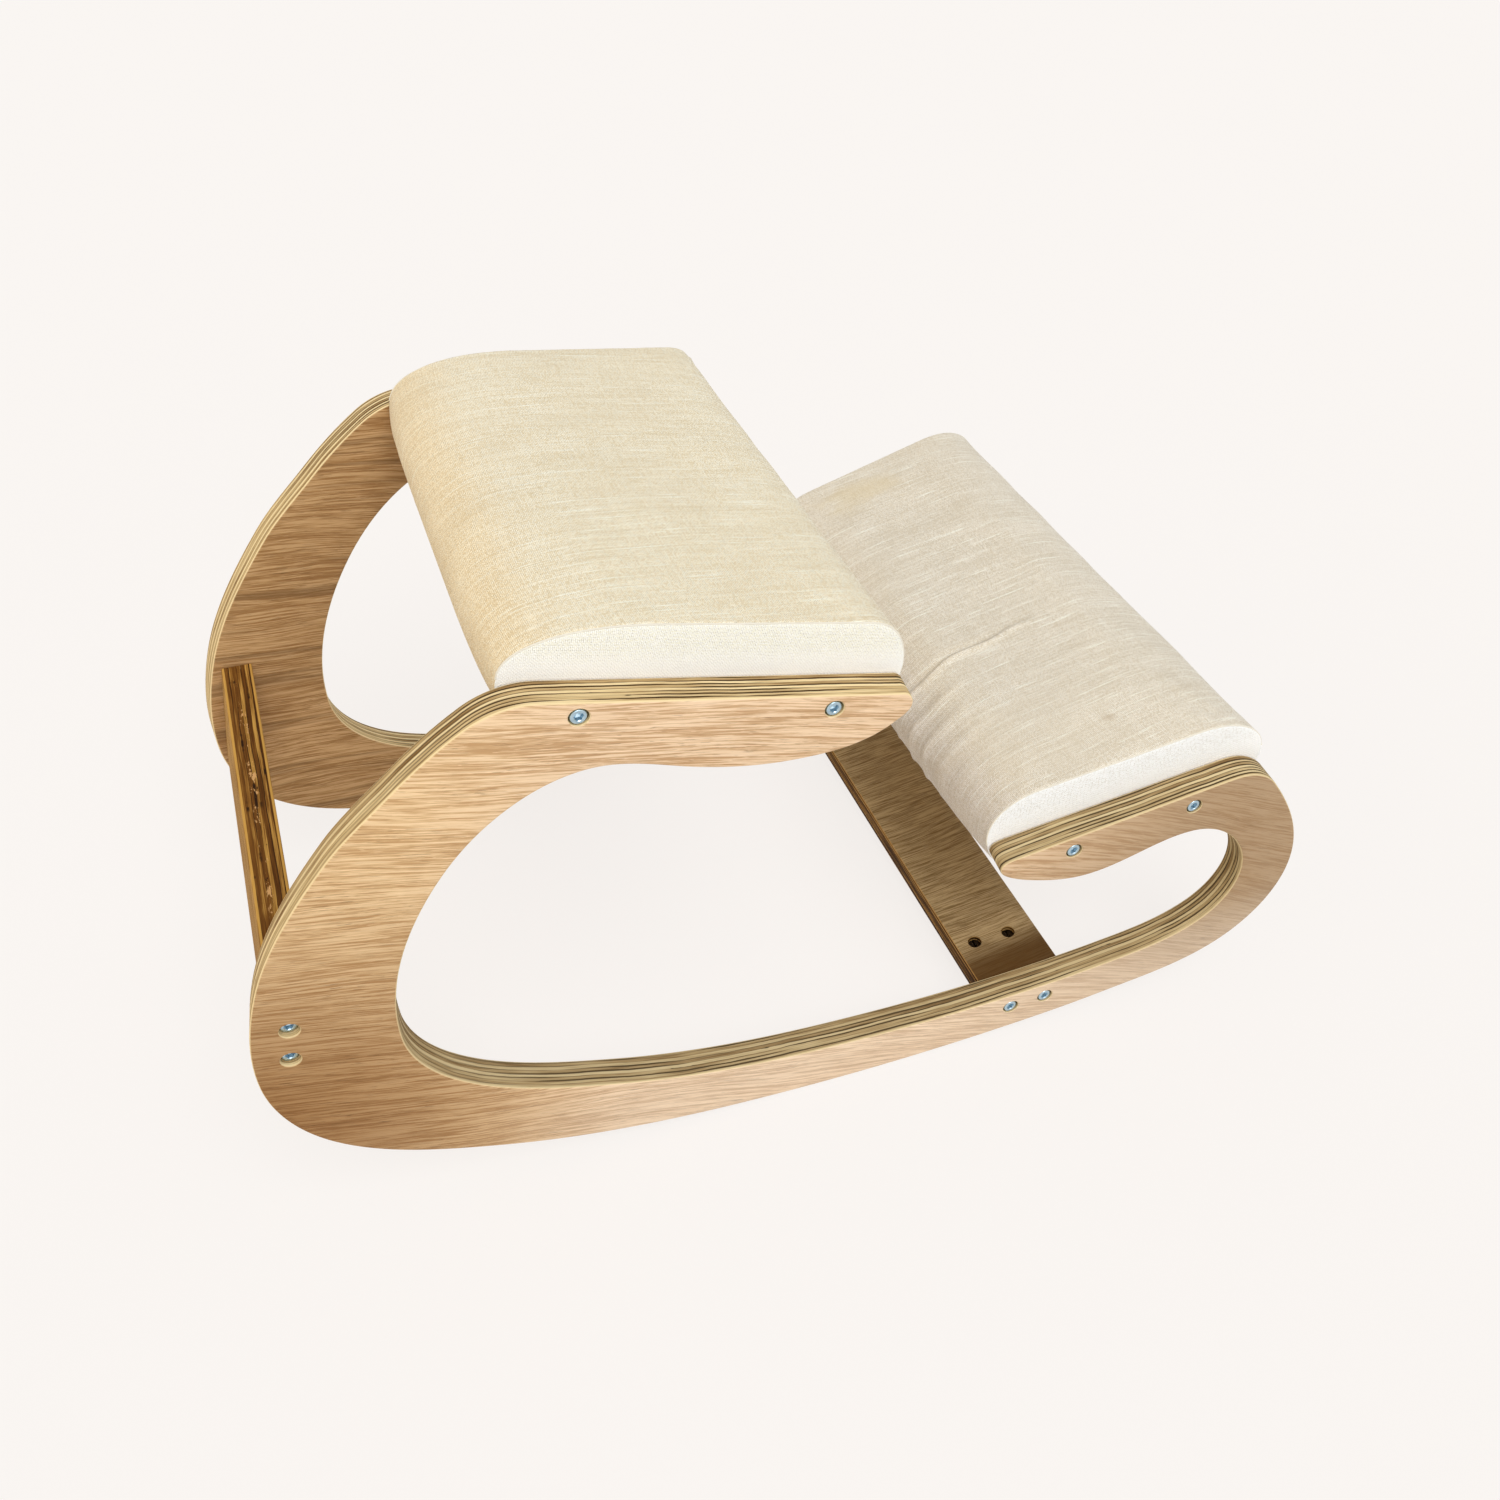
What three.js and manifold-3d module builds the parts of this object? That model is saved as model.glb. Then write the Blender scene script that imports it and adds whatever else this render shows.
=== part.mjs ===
// Kneeling rocking chair. Two C-shaped plywood side frames, closer together at the rear,
// carry a seat pad and a knee pad. A flat crossbar and a rail on edge tie them, and every
// cross piece is held at each end by two cap screws in barrel nuts.
// Millimetres, +Z up. The sitter faces -Y and has +X on the left. The origin is on the
// floor, under the middle of the chair.
import * as THREE from 'three';
import { mergeVertices } from 'three/addons/utils/BufferGeometryUtils.js';
import Module from 'manifold-3d';

const wasm = await Module();
wasm.setup();

// Side frames
const frameLength = 722;
const frameHeight = 406;
const frameSpread = 405.2; // over the outer faces, half way along
const toeAngle = THREE.MathUtils.degToRad(6); // each frame turns in towards the rear
const plywood = 21; // thickness of the frames and of every board
const edgeEase = 1.5; // small chamfer along sawn edges
const restLean = THREE.MathUtils.degToRad(1.6); // turns the frames to where the chair balances
const facetTurn = 7; // degrees of curve that one facet follows
const facetLength = 28; // longest and shortest facet of a curve
const facetShort = 3;

// Outline of a side frame, anticlockwise from the seat arm's nose: how far along the frame's
// length, how far up its height, and the heading in degrees. Two nodes with no heading are the
// front and rear end of an arm's flat top.
const outlineShares = [
  [-0.044, 0.897], // seat arm, flat top
  [0.232, 0.993],
  [0.264, 1, -5], // shoulder and back
  [0.303, 0.975, -35],
  [0.36, 0.887, -46],
  [0.416, 0.78, -54],
  [0.486, 0.552, -73],
  [0.5, 0.355, -95],
  [0.456, 0.186, -135], // heel and rocker
  [0.318, 0.063, -163],
  [0.091, 0.002, -178],
  [-0.188, 0.02, 174],
  [-0.305, 0.049, 169],
  [-0.428, 0.109, 151],
  [-0.499, 0.301, 93], // toe
  [-0.451, 0.522, 54],
  [-0.419, 0.559, 10],
  [-0.39, 0.555], // knee arm, flat top
  [-0.178, 0.481],
  [-0.16, 0.462, -87],
  [-0.173, 0.434, -150], // underside of the knee arm
  [-0.207, 0.41, -163],
  [-0.252, 0.398, 178],
  [-0.32, 0.43, 160],
  [-0.367, 0.448, 180],
  [-0.422, 0.396, -127], // inside of the toe
  [-0.439, 0.31, -90],
  [-0.404, 0.194, -35],
  [-0.303, 0.136, -10], // inside of the rocker
  [-0.006, 0.098, 1],
  [0.204, 0.147, 16],
  [0.35, 0.271, 45],
  [0.384, 0.394, 85], // inside of the back
  [0.347, 0.675, 119],
  [0.287, 0.808, 141],
  [0.217, 0.866, 173], // underside of the seat arm
  [0.15, 0.843, -160],
  [0.051, 0.808, -179],
  [-0.036, 0.843, 143],
  [-0.052, 0.877, 89],
];

// Pads: a board, foam round its top and long edges, and a cover folded under the board.
// Distances along a pad start at the front end of its arm's flat top.
const coverCloth = 1.2;
const coverFold = 27; // cloth under the board, measured from its edges
const padTuck = 14; // foam beyond the board's long edges, where the cover is drawn in under it
const seatPad = {
  front: -5.6,
  rear: 233,
  rise: 35, // above the board at the end seams
  crown: 4, // further rise half way between the frames
  swell: 2, // further length half way between the frames
  frontRound: 27,
  rearRound: 88,
  drop: 0, // board's top below the arm's top
  boltFront: 44.2,
  boltSpacing: 148.4,
};
const kneePad = {
  front: -41,
  rear: 170,
  rise: 35.4,
  crown: 4,
  swell: 2,
  frontRound: 50,
  rearRound: 42,
  drop: 2.4,
  boltFront: 26.3,
  boltSpacing: 91.4,
};

// Crossbar, flat on the inside of the rocker, and rail, on edge in the back
const crossbarShares = [-0.217, 0.0805]; // middle of its bolts, on the outline's scale
const crossbarWidth = 64;
const crossbarShift = 3.6; // bar's middle in front of its bolts' middle
const crossbarTilt = THREE.MathUtils.degToRad(-5.4);
const crossbarBoltSpacing = 27.5;
const railShares = [0.469, 0.437];
const railHeight = 82;
const railLean = THREE.MathUtils.degToRad(97.3);
const railBoltSpacing = 26.1;

// Cap screws and barrel nuts
const screwRadius = 3;
const screwLength = 60;
const screwHole = 3.5; // radius of the clearance hole
const headRadius = 5;
const headHeight = 6;
const headEase = 0.7;
const socketRadius = 2.9; // over the corners of the hexagon
const socketDepth = 3;
const counterboreRadius = 6;
const counterboreDepth = 7;
const railCounterboreDepth = 10; // the rail's screws sit deeper
const nutRadius = 5;
const nutLength = 14;
const nutInset = 34.5; // nut's axis from the end of its board
const roundSides = 12;

// Clearances
const fitGap = 0.3; // between pieces that touch
const overrun = 3; // of every cut past the face it starts from

const oak = { color: 0xcfa67c, roughness: 0.6, metalness: 0 };
const plywoodEdge = { color: 0xb08c5e, roughness: 0.7, metalness: 0 };
const seatLinen = { color: 0xdccfae, roughness: 0.95, metalness: 0 };
const kneeLinen = { color: 0xd2c6b0, roughness: 0.95, metalness: 0 };
const foam = { color: 0xe9e3c8, roughness: 0.9, metalness: 0 };
const zinc = { color: 0xb9c2c9, roughness: 0.3, metalness: 0.9 };

// A closed geometry as a solid, and back
function solid(geometry) {
  const bare = geometry.clone();
  bare.deleteAttribute('normal');
  bare.deleteAttribute('uv');
  const merged = mergeVertices(bare);
  return new wasm.Manifold(new wasm.Mesh({
    numProp: 3,
    vertProperties: new Float32Array(merged.attributes.position.array),
    triVerts: new Uint32Array(merged.index.array),
  }));
}

function geometryOf(body) {
  const mesh = body.getMesh();
  const geometry = new THREE.BufferGeometry();
  geometry.setAttribute('position', new THREE.BufferAttribute(mesh.vertProperties, 3));
  geometry.setIndex(new THREE.BufferAttribute(mesh.triVerts, 1));
  geometry.computeVertexNormals();
  return geometry;
}

function cut(body, tools) {
  return tools.reduce((left, tool) => left.subtract(solid(tool)), body);
}

// A named mesh in its own material, at a pose
function piece(name, geometry, finish, pose = new THREE.Matrix4()) {
  const mesh = new THREE.Mesh(geometry, new THREE.MeshStandardMaterial(finish));
  mesh.name = name;
  pose.decompose(mesh.position, mesh.quaternion, mesh.scale);
  return mesh;
}

// Outline of a side frame

// A place given in shares of the frame, turned to the chair's balance
function onFrame([along, up]) {
  const foot = new THREE.Vector2();
  return new THREE.Vector2(along * frameLength, up * frameHeight).rotateAround(foot, restLean);
}

function outlineNodes() {
  const nodes = outlineShares.map(([along, up, heading]) => ({
    at: onFrame([along, up]),
    heading: heading === undefined ? undefined : THREE.MathUtils.degToRad(heading) + restLean,
  }));
  const arms = nodes.flatMap((node, i) => {
    const next = nodes[(i + 1) % nodes.length];
    return node.heading === undefined && next.heading === undefined ? [[node, next]] : [];
  });
  for (const [front, rear] of arms) {
    const run = rear.at.clone().sub(front.at);
    front.heading = rear.heading = Math.atan2(run.y, run.x);
  }
  return { nodes, arms };
}

// The curve between two nodes leaves and meets them along their headings, with the handles
// that make it a circle's arc where the turn is even.
function outlinePoints(nodes) {
  const points = [];
  nodes.forEach(({ at, heading }, i) => {
    const next = nodes[(i + 1) % nodes.length];
    const chord = at.distanceTo(next.at);
    const raw = next.heading - heading;
    const turn = Math.abs(Math.atan2(Math.sin(raw), Math.cos(raw)));
    const handle = chord / (3 * Math.cos(turn / 4) ** 2);
    const reach = (angle, length) =>
      new THREE.Vector2(Math.cos(angle), Math.sin(angle)).multiplyScalar(length);
    const curve = new THREE.CubicBezierCurve(
      at,
      at.clone().add(reach(heading, handle)),
      next.at.clone().sub(reach(next.heading, handle)),
      next.at,
    );
    const byTurn = Math.min(THREE.MathUtils.radToDeg(turn) / facetTurn, chord / facetShort);
    const steps = turn > 0 ? Math.ceil(Math.max(byTurn, chord / facetLength)) : 1;
    points.push(...curve.getPoints(steps).slice(0, -1));
  });
  return points;
}

const { nodes, arms: [seatArm, kneeArm] } = outlineNodes();
const outline = outlinePoints(nodes);

// The chair stands on the outline's lowest point, midway between its ends.
const sole = Math.min(...outline.map((p) => p.y));
const rearmost = Math.max(...outline.map((p) => p.x)) * Math.cos(toeAngle);
const foremost = Math.min(...outline.map((p) => p.x)) * Math.cos(toeAngle)
  - plywood * Math.sin(toeAngle);
const middle = (rearmost + foremost) / 2;

// Half the width at a place along the chair, at a depth below the frames' outer faces
function halfWidth(y, depth = 0) {
  return frameSpread / 2 - depth / Math.cos(toeAngle) - (y + middle) * Math.tan(toeAngle);
}

// Place on the chair of a point of the outline, on the frames' outer or inner face
function placeOnFrame(point, depth = 0) {
  return {
    y: point.x * Math.cos(toeAngle) - depth * Math.sin(toeAngle) - middle,
    z: point.y - sole,
  };
}

// Pose of a piece that lies across the chair: its own Y runs rearwards along the slope
function acrossPose({ y, z }, slope) {
  const pose = new THREE.Matrix4().makeRotationX(slope);
  return pose.setPosition(0, y, z);
}

// A profile in the chair's YZ plane, drawn out along X
function drawnAcross(shape, reach, options = {}) {
  const geometry = new THREE.ExtrudeGeometry(shape, { depth: 2 * reach, bevelEnabled: false, ...options });
  geometry.translate(0, 0, -reach);
  const turn = new THREE.Matrix4().makeBasis(
    new THREE.Vector3(0, 1, 0),
    new THREE.Vector3(0, 0, 1),
    new THREE.Vector3(1, 0, 0),
  );
  return geometry.applyMatrix4(turn);
}

// The space between the frames' inner faces, less a clearance at each end
function betweenFrames(clearance) {
  const depth = plywood + clearance;
  const rear = frameLength;
  const plan = new THREE.Shape([
    new THREE.Vector2(-halfWidth(-rear, depth), -rear),
    new THREE.Vector2(halfWidth(-rear, depth), -rear),
    new THREE.Vector2(halfWidth(rear, depth), rear),
    new THREE.Vector2(-halfWidth(rear, depth), rear),
  ]);
  const geometry = new THREE.ExtrudeGeometry(plan, { depth: 2 * frameHeight, bevelEnabled: false });
  return geometry.translate(0, 0, -frameHeight / 2);
}

// A board's rectangular section with eased corners; low and high are its faces
function boardSection(front, rear, low, high, ease = edgeEase) {
  return new THREE.Shape([
    new THREE.Vector2(front + ease, low),
    new THREE.Vector2(rear - ease, low),
    new THREE.Vector2(rear, low + ease),
    new THREE.Vector2(rear, high - ease),
    new THREE.Vector2(rear - ease, high),
    new THREE.Vector2(front + ease, high),
    new THREE.Vector2(front, high - ease),
    new THREE.Vector2(front, low + ease),
  ]);
}

// A section drawn across and trimmed to the frames, in the piece's own axes
function trimmedAcross(section, clearance, pose) {
  const stock = solid(drawnAcross(section, frameSpread));
  const space = betweenFrames(clearance).applyMatrix4(pose.clone().invert());
  return stock.intersect(solid(space));
}

// Fasteners. Each line is one screw on each side, parallel to X.

const sides = { left: 1, right: -1 };

// A screw's line: name of the piece and place, the point in YZ, the board's pose and how far
// its end lies inside the frames' inner faces; nutSide is the face the nut goes in from, and
// sunk is the depth of the counterbore.
function screwLine(label, pose, along, { nutSide, clearance, sunk }) {
  const at = new THREE.Vector3(0, along, -plywood / 2).applyMatrix4(pose);
  const [group, place] = label;
  return { group, place, pose, along, nutSide, y: at.y, z: at.z, clearance, sunk };
}

function screwSeat(line) {
  return halfWidth(line.y) - line.sunk;
}

function nutPlace(line) {
  return halfWidth(line.y, plywood + line.clearance) - nutInset;
}

// A round bar along X between two places
function barAcross(radius, from, to, { y, z }) {
  const bar = new THREE.CylinderGeometry(radius, radius, Math.abs(to - from), roundSides);
  return bar.rotateZ(Math.PI / 2).translate((from + to) / 2, y, z);
}

function screwHoleTool(line, side) {
  const tip = screwSeat(line) - screwLength - overrun;
  const outside = halfWidth(line.y) + overrun;
  return barAcross(screwHole, side * outside, side * tip, line);
}

function counterboreTool(line, side) {
  const outside = halfWidth(line.y) + overrun;
  return barAcross(counterboreRadius, side * outside, side * screwSeat(line), line);
}

// The nut's blind hole, in the board's own axes, from the face on its side
function nutHoleTool(line, side) {
  const depth = (plywood + nutLength) / 2 + fitGap;
  const length = depth + overrun;
  const tool = new THREE.CylinderGeometry(nutRadius + fitGap, nutRadius + fitGap, length, roundSides);
  const middleUp = line.nutSide * ((plywood + length) / 2 - depth) - plywood / 2;
  return tool.rotateX(Math.PI / 2).translate(side * nutPlace(line), line.along, middleUp);
}

function screwGeometry() {
  const profile = [
    [0, -screwLength],
    [screwRadius - headEase, -screwLength],
    [screwRadius, headEase - screwLength],
    [screwRadius, 0],
    [headRadius, 0],
    [headRadius, headHeight - headEase],
    [headRadius - headEase, headHeight],
    [0, headHeight],
  ].map(([r, h]) => new THREE.Vector2(r, h));
  const body = new THREE.LatheGeometry(profile, roundSides).rotateX(Math.PI / 2);
  const socket = new THREE.CylinderGeometry(socketRadius, socketRadius, 2 * socketDepth, 6)
    .rotateX(Math.PI / 2).translate(0, 0, headHeight);
  return geometryOf(cut(solid(body), [socket]));
}

function nutGeometry() {
  const body = new THREE.CylinderGeometry(nutRadius, nutRadius, nutLength, roundSides)
    .rotateX(Math.PI / 2);
  const bore = new THREE.CylinderGeometry(
    screwRadius + fitGap, screwRadius + fitGap, 4 * nutRadius, roundSides,
  ).rotateZ(Math.PI / 2);
  return geometryOf(cut(solid(body), [bore]));
}

function screwAndNut(line, sideName) {
  const side = sides[sideName];
  const screwPose = new THREE.Matrix4().makeRotationY(side * Math.PI / 2);
  screwPose.setPosition(side * (screwSeat(line) + fitGap), line.y, line.z);
  const nutPose = line.pose.clone().multiply(
    new THREE.Matrix4().makeTranslation(side * nutPlace(line), line.along, -plywood / 2),
  );
  return [
    piece(`${line.group}_screw_${line.place}_${sideName}`, screwGeometry(), zinc, screwPose),
    piece(`${line.group}_nut_${line.place}_${sideName}`, nutGeometry(), zinc, nutPose),
  ];
}

// Bores for all screws and nuts of a board, in its own axes
function boardBores(lines) {
  const tools = [];
  for (const line of lines) {
    const toBoard = line.pose.clone().invert();
    for (const side of Object.values(sides)) {
      tools.push(screwHoleTool(line, side).applyMatrix4(toBoard), nutHoleTool(line, side));
    }
  }
  return tools;
}

// Side frames

function sideFrame(sideName, lines) {
  const side = sides[sideName];
  const pose = new THREE.Matrix4()
    .makeTranslation(side * frameSpread / 2, -middle, -sole)
    .multiply(new THREE.Matrix4().makeRotationZ(Math.PI / 2 + side * toeAngle))
    .multiply(new THREE.Matrix4().makeRotationX(Math.PI / 2));
  const stock = new THREE.ExtrudeGeometry(new THREE.Shape(outline), {
    depth: plywood - 2 * edgeEase,
    bevelThickness: edgeEase,
    bevelSize: edgeEase,
    bevelOffset: -edgeEase,
    bevelSegments: 1,
  });
  stock.translate(0, 0, side > 0 ? edgeEase - plywood : edgeEase);
  const toFrame = pose.clone().invert();
  const tools = lines.flatMap((line) => [screwHoleTool(line, side), counterboreTool(line, side)]);
  const body = cut(solid(stock), tools.map((tool) => tool.applyMatrix4(toFrame)));
  return piece(`side_frame_${sideName}`, geometryOf(body), oak, pose);
}

// Pads

// A quarter of an ellipse, from its end on the first axis to its end on the second
function quarter(centre, reachY, reachZ, fromAngle) {
  const steps = 5;
  return Array.from({ length: steps + 1 }, (_, i) => {
    const angle = fromAngle + (i / steps) * Math.PI / 2;
    return [centre[0] + reachY * Math.cos(angle), centre[1] + reachZ * Math.sin(angle)];
  });
}

// Section of a pad in its own YZ plane: four quarter ellipses that meet at the widest line,
// level with the board's top, and flat runs above and below. fullness is 0 at the end seams
// and 1 half way; inset shrinks the section all round, and low is its underside.
function padSection(pad, fullness, inset, low) {
  const front = pad.front - pad.swell * fullness + inset;
  const rear = pad.rear + pad.swell * fullness - inset;
  const high = pad.rise + pad.crown * fullness - inset;
  const frontRound = pad.frontRound - inset;
  const rearRound = pad.rearRound - inset;
  const tuck = padTuck - inset;
  return [
    ...quarter([rear - rearRound, 0], rearRound, high, 0),
    ...quarter([front + frontRound, 0], frontRound, high, Math.PI / 2),
    ...quarter([front + tuck, 0], tuck, -low, Math.PI).slice(1),
    ...quarter([rear - tuck, 0], tuck, -low, -Math.PI / 2).slice(0, -1),
  ];
}

// The padded form: sections that swell from the end seams to the middle, each point set out
// to its share of the width between the frames, so both ends lie flat against them.
function padForm(pad, pose, inset, low) {
  const stations = 12;
  const evenness = 5; // how long the crown keeps its height before it falls to the seams
  const positions = [];
  const index = [];
  const point = new THREE.Vector3();
  let count = 0;
  for (let i = 0; i <= stations; i += 1) {
    const share = Math.sin((i / stations - 0.5) * Math.PI);
    const section = padSection(pad, 1 - Math.abs(share) ** evenness, inset, low);
    count = section.length;
    for (const [y, z] of section) {
      const across = halfWidth(point.set(0, y, z).applyMatrix4(pose).y, plywood + fitGap + inset);
      positions.push(share * across, y, z);
    }
  }
  for (let i = 0; i < stations; i += 1) {
    for (let k = 0; k < count; k += 1) {
      const a = i * count + k;
      const b = i * count + ((k + 1) % count);
      index.push(a, b, a + count, b, b + count, a + count);
    }
  }
  const end = padSection(pad, 0, inset, low).map(([y, z]) => new THREE.Vector2(y, z));
  for (const [a, b, c] of THREE.ShapeUtils.triangulateShape(end, [])) {
    index.push(a, c, b, a + stations * count, b + stations * count, c + stations * count);
  }
  const geometry = new THREE.BufferGeometry();
  geometry.setAttribute('position', new THREE.Float32BufferAttribute(positions, 3));
  geometry.setIndex(index);
  return geometry;
}

// Board, foam and cover of one pad, and the lines of its screws
function padPieces(name, pad, arm, linen) {
  const [front, rear] = arm.map((node) => placeOnFrame(node.at, plywood));
  const slope = Math.atan2(rear.z - front.z, rear.y - front.y);
  const top = { y: front.y + pad.drop * Math.sin(slope), z: front.z - pad.drop * Math.cos(slope) };
  const pose = acrossPose(top, slope);
  const clearance = 2 * fitGap + coverCloth;
  const label = ['front', 'rear'];
  const lines = [0, pad.boltSpacing].map((step, i) =>
    screwLine([name, label[i]], pose, pad.boltFront + step,
      { nutSide: -1, clearance, sunk: counterboreDepth }));

  const boardFront = pad.front + padTuck;
  const boardRear = pad.rear - padTuck;
  const section = boardSection(boardFront, boardRear, -plywood, 0);
  const board = cut(trimmedAcross(section, clearance, pose), boardBores(lines));

  const foamInset = coverCloth + fitGap;
  const boardRoom = boardSection(boardFront - fitGap, boardRear + fitGap, -2 * plywood, fitGap);
  const padding = cut(solid(padForm(pad, pose, foamInset, -plywood)), [
    drawnAcross(boardRoom, frameSpread),
  ]);

  const underside = -plywood - fitGap;
  const outside = solid(padForm(pad, pose, 0, underside - coverCloth));
  const inside = solid(padForm(pad, pose, coverCloth, underside));
  const opening = trimmedAcross(
    boardSection(pad.front + coverFold, pad.rear - coverFold, underside - coverCloth - overrun, underside + overrun),
    coverFold,
    pose,
  );
  const screwPaths = lines.flatMap((line) =>
    Object.values(sides).map((side) => screwHoleTool(line, side).applyMatrix4(pose.clone().invert())));
  const cover = cut(outside.subtract(inside).subtract(opening), screwPaths);

  return {
    lines,
    meshes: [
      piece(`${name}_board`, geometryOf(board), plywoodEdge, pose),
      piece(`${name}_foam`, geometryOf(padding), foam, pose),
      piece(`${name}_cover`, geometryOf(cover), linen, pose),
    ],
  };
}

// Bare boards across the chair: their top face is half a thickness above their screws

function barPieces(name, shares, tilt, width, shift, spacing, labels, sunk) {
  const bolts = placeOnFrame(onFrame(shares));
  const slope = tilt + restLean;
  const rise = plywood / 2;
  const top = { y: bolts.y - rise * Math.sin(slope), z: bolts.z + rise * Math.cos(slope) };
  const pose = acrossPose(top, slope);
  const lines = [-spacing / 2, spacing / 2].map((along, i) =>
    screwLine([name, labels[i]], pose, along, { nutSide: 1, clearance: fitGap, sunk }));
  const section = boardSection(-width / 2 - shift, width / 2 - shift, -plywood, 0);
  const board = cut(trimmedAcross(section, fitGap, pose), boardBores(lines));
  return { lines, meshes: [piece(name, geometryOf(board), plywoodEdge, pose)] };
}

const groups = [
  padPieces('seat', seatPad, seatArm, seatLinen),
  padPieces('knee', kneePad, kneeArm, kneeLinen),
  barPieces('crossbar', crossbarShares, crossbarTilt, crossbarWidth, crossbarShift,
    crossbarBoltSpacing, ['front', 'rear'], counterboreDepth),
  barPieces('rear_rail', railShares, railLean, railHeight, 0,
    railBoltSpacing, ['lower', 'upper'], railCounterboreDepth),
];
const lines = groups.flatMap((group) => group.lines);

const chair = new THREE.Group();
chair.name = 'kneeling_chair';
for (const sideName of Object.keys(sides)) {
  chair.add(sideFrame(sideName, lines));
}
for (const group of groups) {
  chair.add(...group.meshes);
}
for (const line of lines) {
  for (const sideName of Object.keys(sides)) {
    chair.add(...screwAndNut(line, sideName));
  }
}

export default chair;
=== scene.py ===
import math

import bmesh
import bpy
from mathutils import Euler, Matrix, Vector, noise


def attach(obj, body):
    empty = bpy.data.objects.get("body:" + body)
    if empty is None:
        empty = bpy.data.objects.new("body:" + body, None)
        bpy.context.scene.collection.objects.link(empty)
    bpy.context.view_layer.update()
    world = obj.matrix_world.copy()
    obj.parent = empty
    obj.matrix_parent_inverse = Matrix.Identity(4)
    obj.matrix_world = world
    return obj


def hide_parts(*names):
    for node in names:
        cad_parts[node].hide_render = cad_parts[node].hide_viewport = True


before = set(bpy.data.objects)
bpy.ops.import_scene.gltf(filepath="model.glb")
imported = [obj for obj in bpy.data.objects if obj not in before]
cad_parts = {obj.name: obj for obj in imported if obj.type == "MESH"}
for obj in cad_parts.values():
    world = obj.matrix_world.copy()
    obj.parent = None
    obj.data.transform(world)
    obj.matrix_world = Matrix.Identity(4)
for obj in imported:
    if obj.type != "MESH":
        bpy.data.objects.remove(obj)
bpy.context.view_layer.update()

scene = bpy.context.scene

# Camera. It stands to the chair's right and a little behind it, above the seat, and looks down
# and forwards across both pads.
camera = bpy.data.objects.new("camera", bpy.data.cameras.new("camera"))
scene.collection.objects.link(camera)
camera.location = (-0.74785, 0.26557, 0.91431)
camera.rotation_euler = Euler([math.radians(turn) for turn in (55.467, -1.276, -114.377)])
camera.data.sensor_width = 36
camera.data.lens = 33.605
camera.data.shift_x = -0.0578
camera.data.shift_y = -0.1561
scene.camera = camera

# Side frames. Each is one C-shaped piece of 21 mm plywood with oak-veneered faces, sawn to the
# same outline and eased along every edge. They stand plumb, closer together at the rear, and
# are counterbored for the screws.
frame_long, frame_high, frame_spread = 0.722, 0.406, 0.4052
toe_in = math.radians(6)
rest_lean = math.radians(1.6)
ply = 0.021
frame_ease = 0.0016
mouth_ease = 0.0006
facet_turn, facet_long, facet_short = math.radians(2.2), 0.007, 0.0008
outline_table = [
    (-0.044, 0.897), (0.232, 0.993),  # seat arm's flat top
    (0.264, 1, -5), (0.303, 0.975, -35), (0.36, 0.887, -46), (0.416, 0.78, -54),  # shoulder, back
    (0.486, 0.552, -73), (0.5, 0.355, -95), (0.456, 0.186, -135), (0.318, 0.063, -163),  # heel
    (0.091, 0.002, -178), (-0.188, 0.02, 174), (-0.305, 0.049, 169), (-0.428, 0.109, 151),
    (-0.499, 0.301, 93), (-0.451, 0.522, 54), (-0.419, 0.559, 10),  # toe
    (-0.39, 0.555), (-0.178, 0.481),  # knee arm's flat top
    (-0.16, 0.462, -87), (-0.173, 0.434, -150), (-0.207, 0.41, -163), (-0.252, 0.398, 178),
    (-0.32, 0.43, 160), (-0.367, 0.448, 180), (-0.422, 0.396, -127), (-0.439, 0.31, -90),
    (-0.404, 0.194, -35), (-0.303, 0.136, -10), (-0.006, 0.098, 1), (0.204, 0.147, 16),
    (0.35, 0.271, 45), (0.384, 0.394, 85), (0.347, 0.675, 119), (0.287, 0.808, 141),
    (0.217, 0.866, 173), (0.15, 0.843, -160), (0.051, 0.808, -179), (-0.036, 0.843, 143),
    (-0.052, 0.877, 89),
]


def on_frame(along, up):
    place = Vector((along * frame_long, up * frame_high))
    place.rotate(Matrix.Rotation(rest_lean, 2))
    return place


def heading_vector(angle):
    return Vector((math.cos(angle), math.sin(angle)))


frame_nodes = []
for row in outline_table:
    heading = math.radians(row[2]) + rest_lean if len(row) == 3 else None
    frame_nodes.append([on_frame(row[0], row[1]), heading])
arms = []
for near, far in zip(frame_nodes, frame_nodes[1:]):
    if near[1] is None and far[1] is None:
        run = far[0] - near[0]
        near[1] = far[1] = math.atan2(run.y, run.x)
        arms.append((near[0], far[0]))
seat_arm, knee_arm = arms

outline = []
for (start, start_heading), (end, end_heading) in zip(frame_nodes, frame_nodes[1:] + frame_nodes[:1]):
    chord = (end - start).length
    raw = end_heading - start_heading
    turn = abs(math.atan2(math.sin(raw), math.cos(raw)))
    handle = chord / (3 * math.cos(turn / 4) ** 2)
    first = start + heading_vector(start_heading) * handle
    second = end - heading_vector(end_heading) * handle
    steps = math.ceil(max(min(turn / facet_turn, chord / facet_short), chord / facet_long))
    for step in range(steps):
        t = step / steps
        outline.append(
            start * (1 - t) ** 3 + first * 3 * t * (1 - t) ** 2 + second * 3 * t * t * (1 - t) + end * t ** 3
        )
sole = min(point.y for point in outline)
rearmost = max(point.x for point in outline) * math.cos(toe_in)
foremost = min(point.x for point in outline) * math.cos(toe_in) - ply * math.sin(toe_in)
middle = (rearmost + foremost) / 2


def half_width(y, depth=0.0):
    return frame_spread / 2 - depth / math.cos(toe_in) - (y + middle) * math.tan(toe_in)


def place_on_frame(point, depth=0.0):
    return Vector((0, point.x * math.cos(toe_in) - depth * math.sin(toe_in) - middle, point.y - sole))


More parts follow.
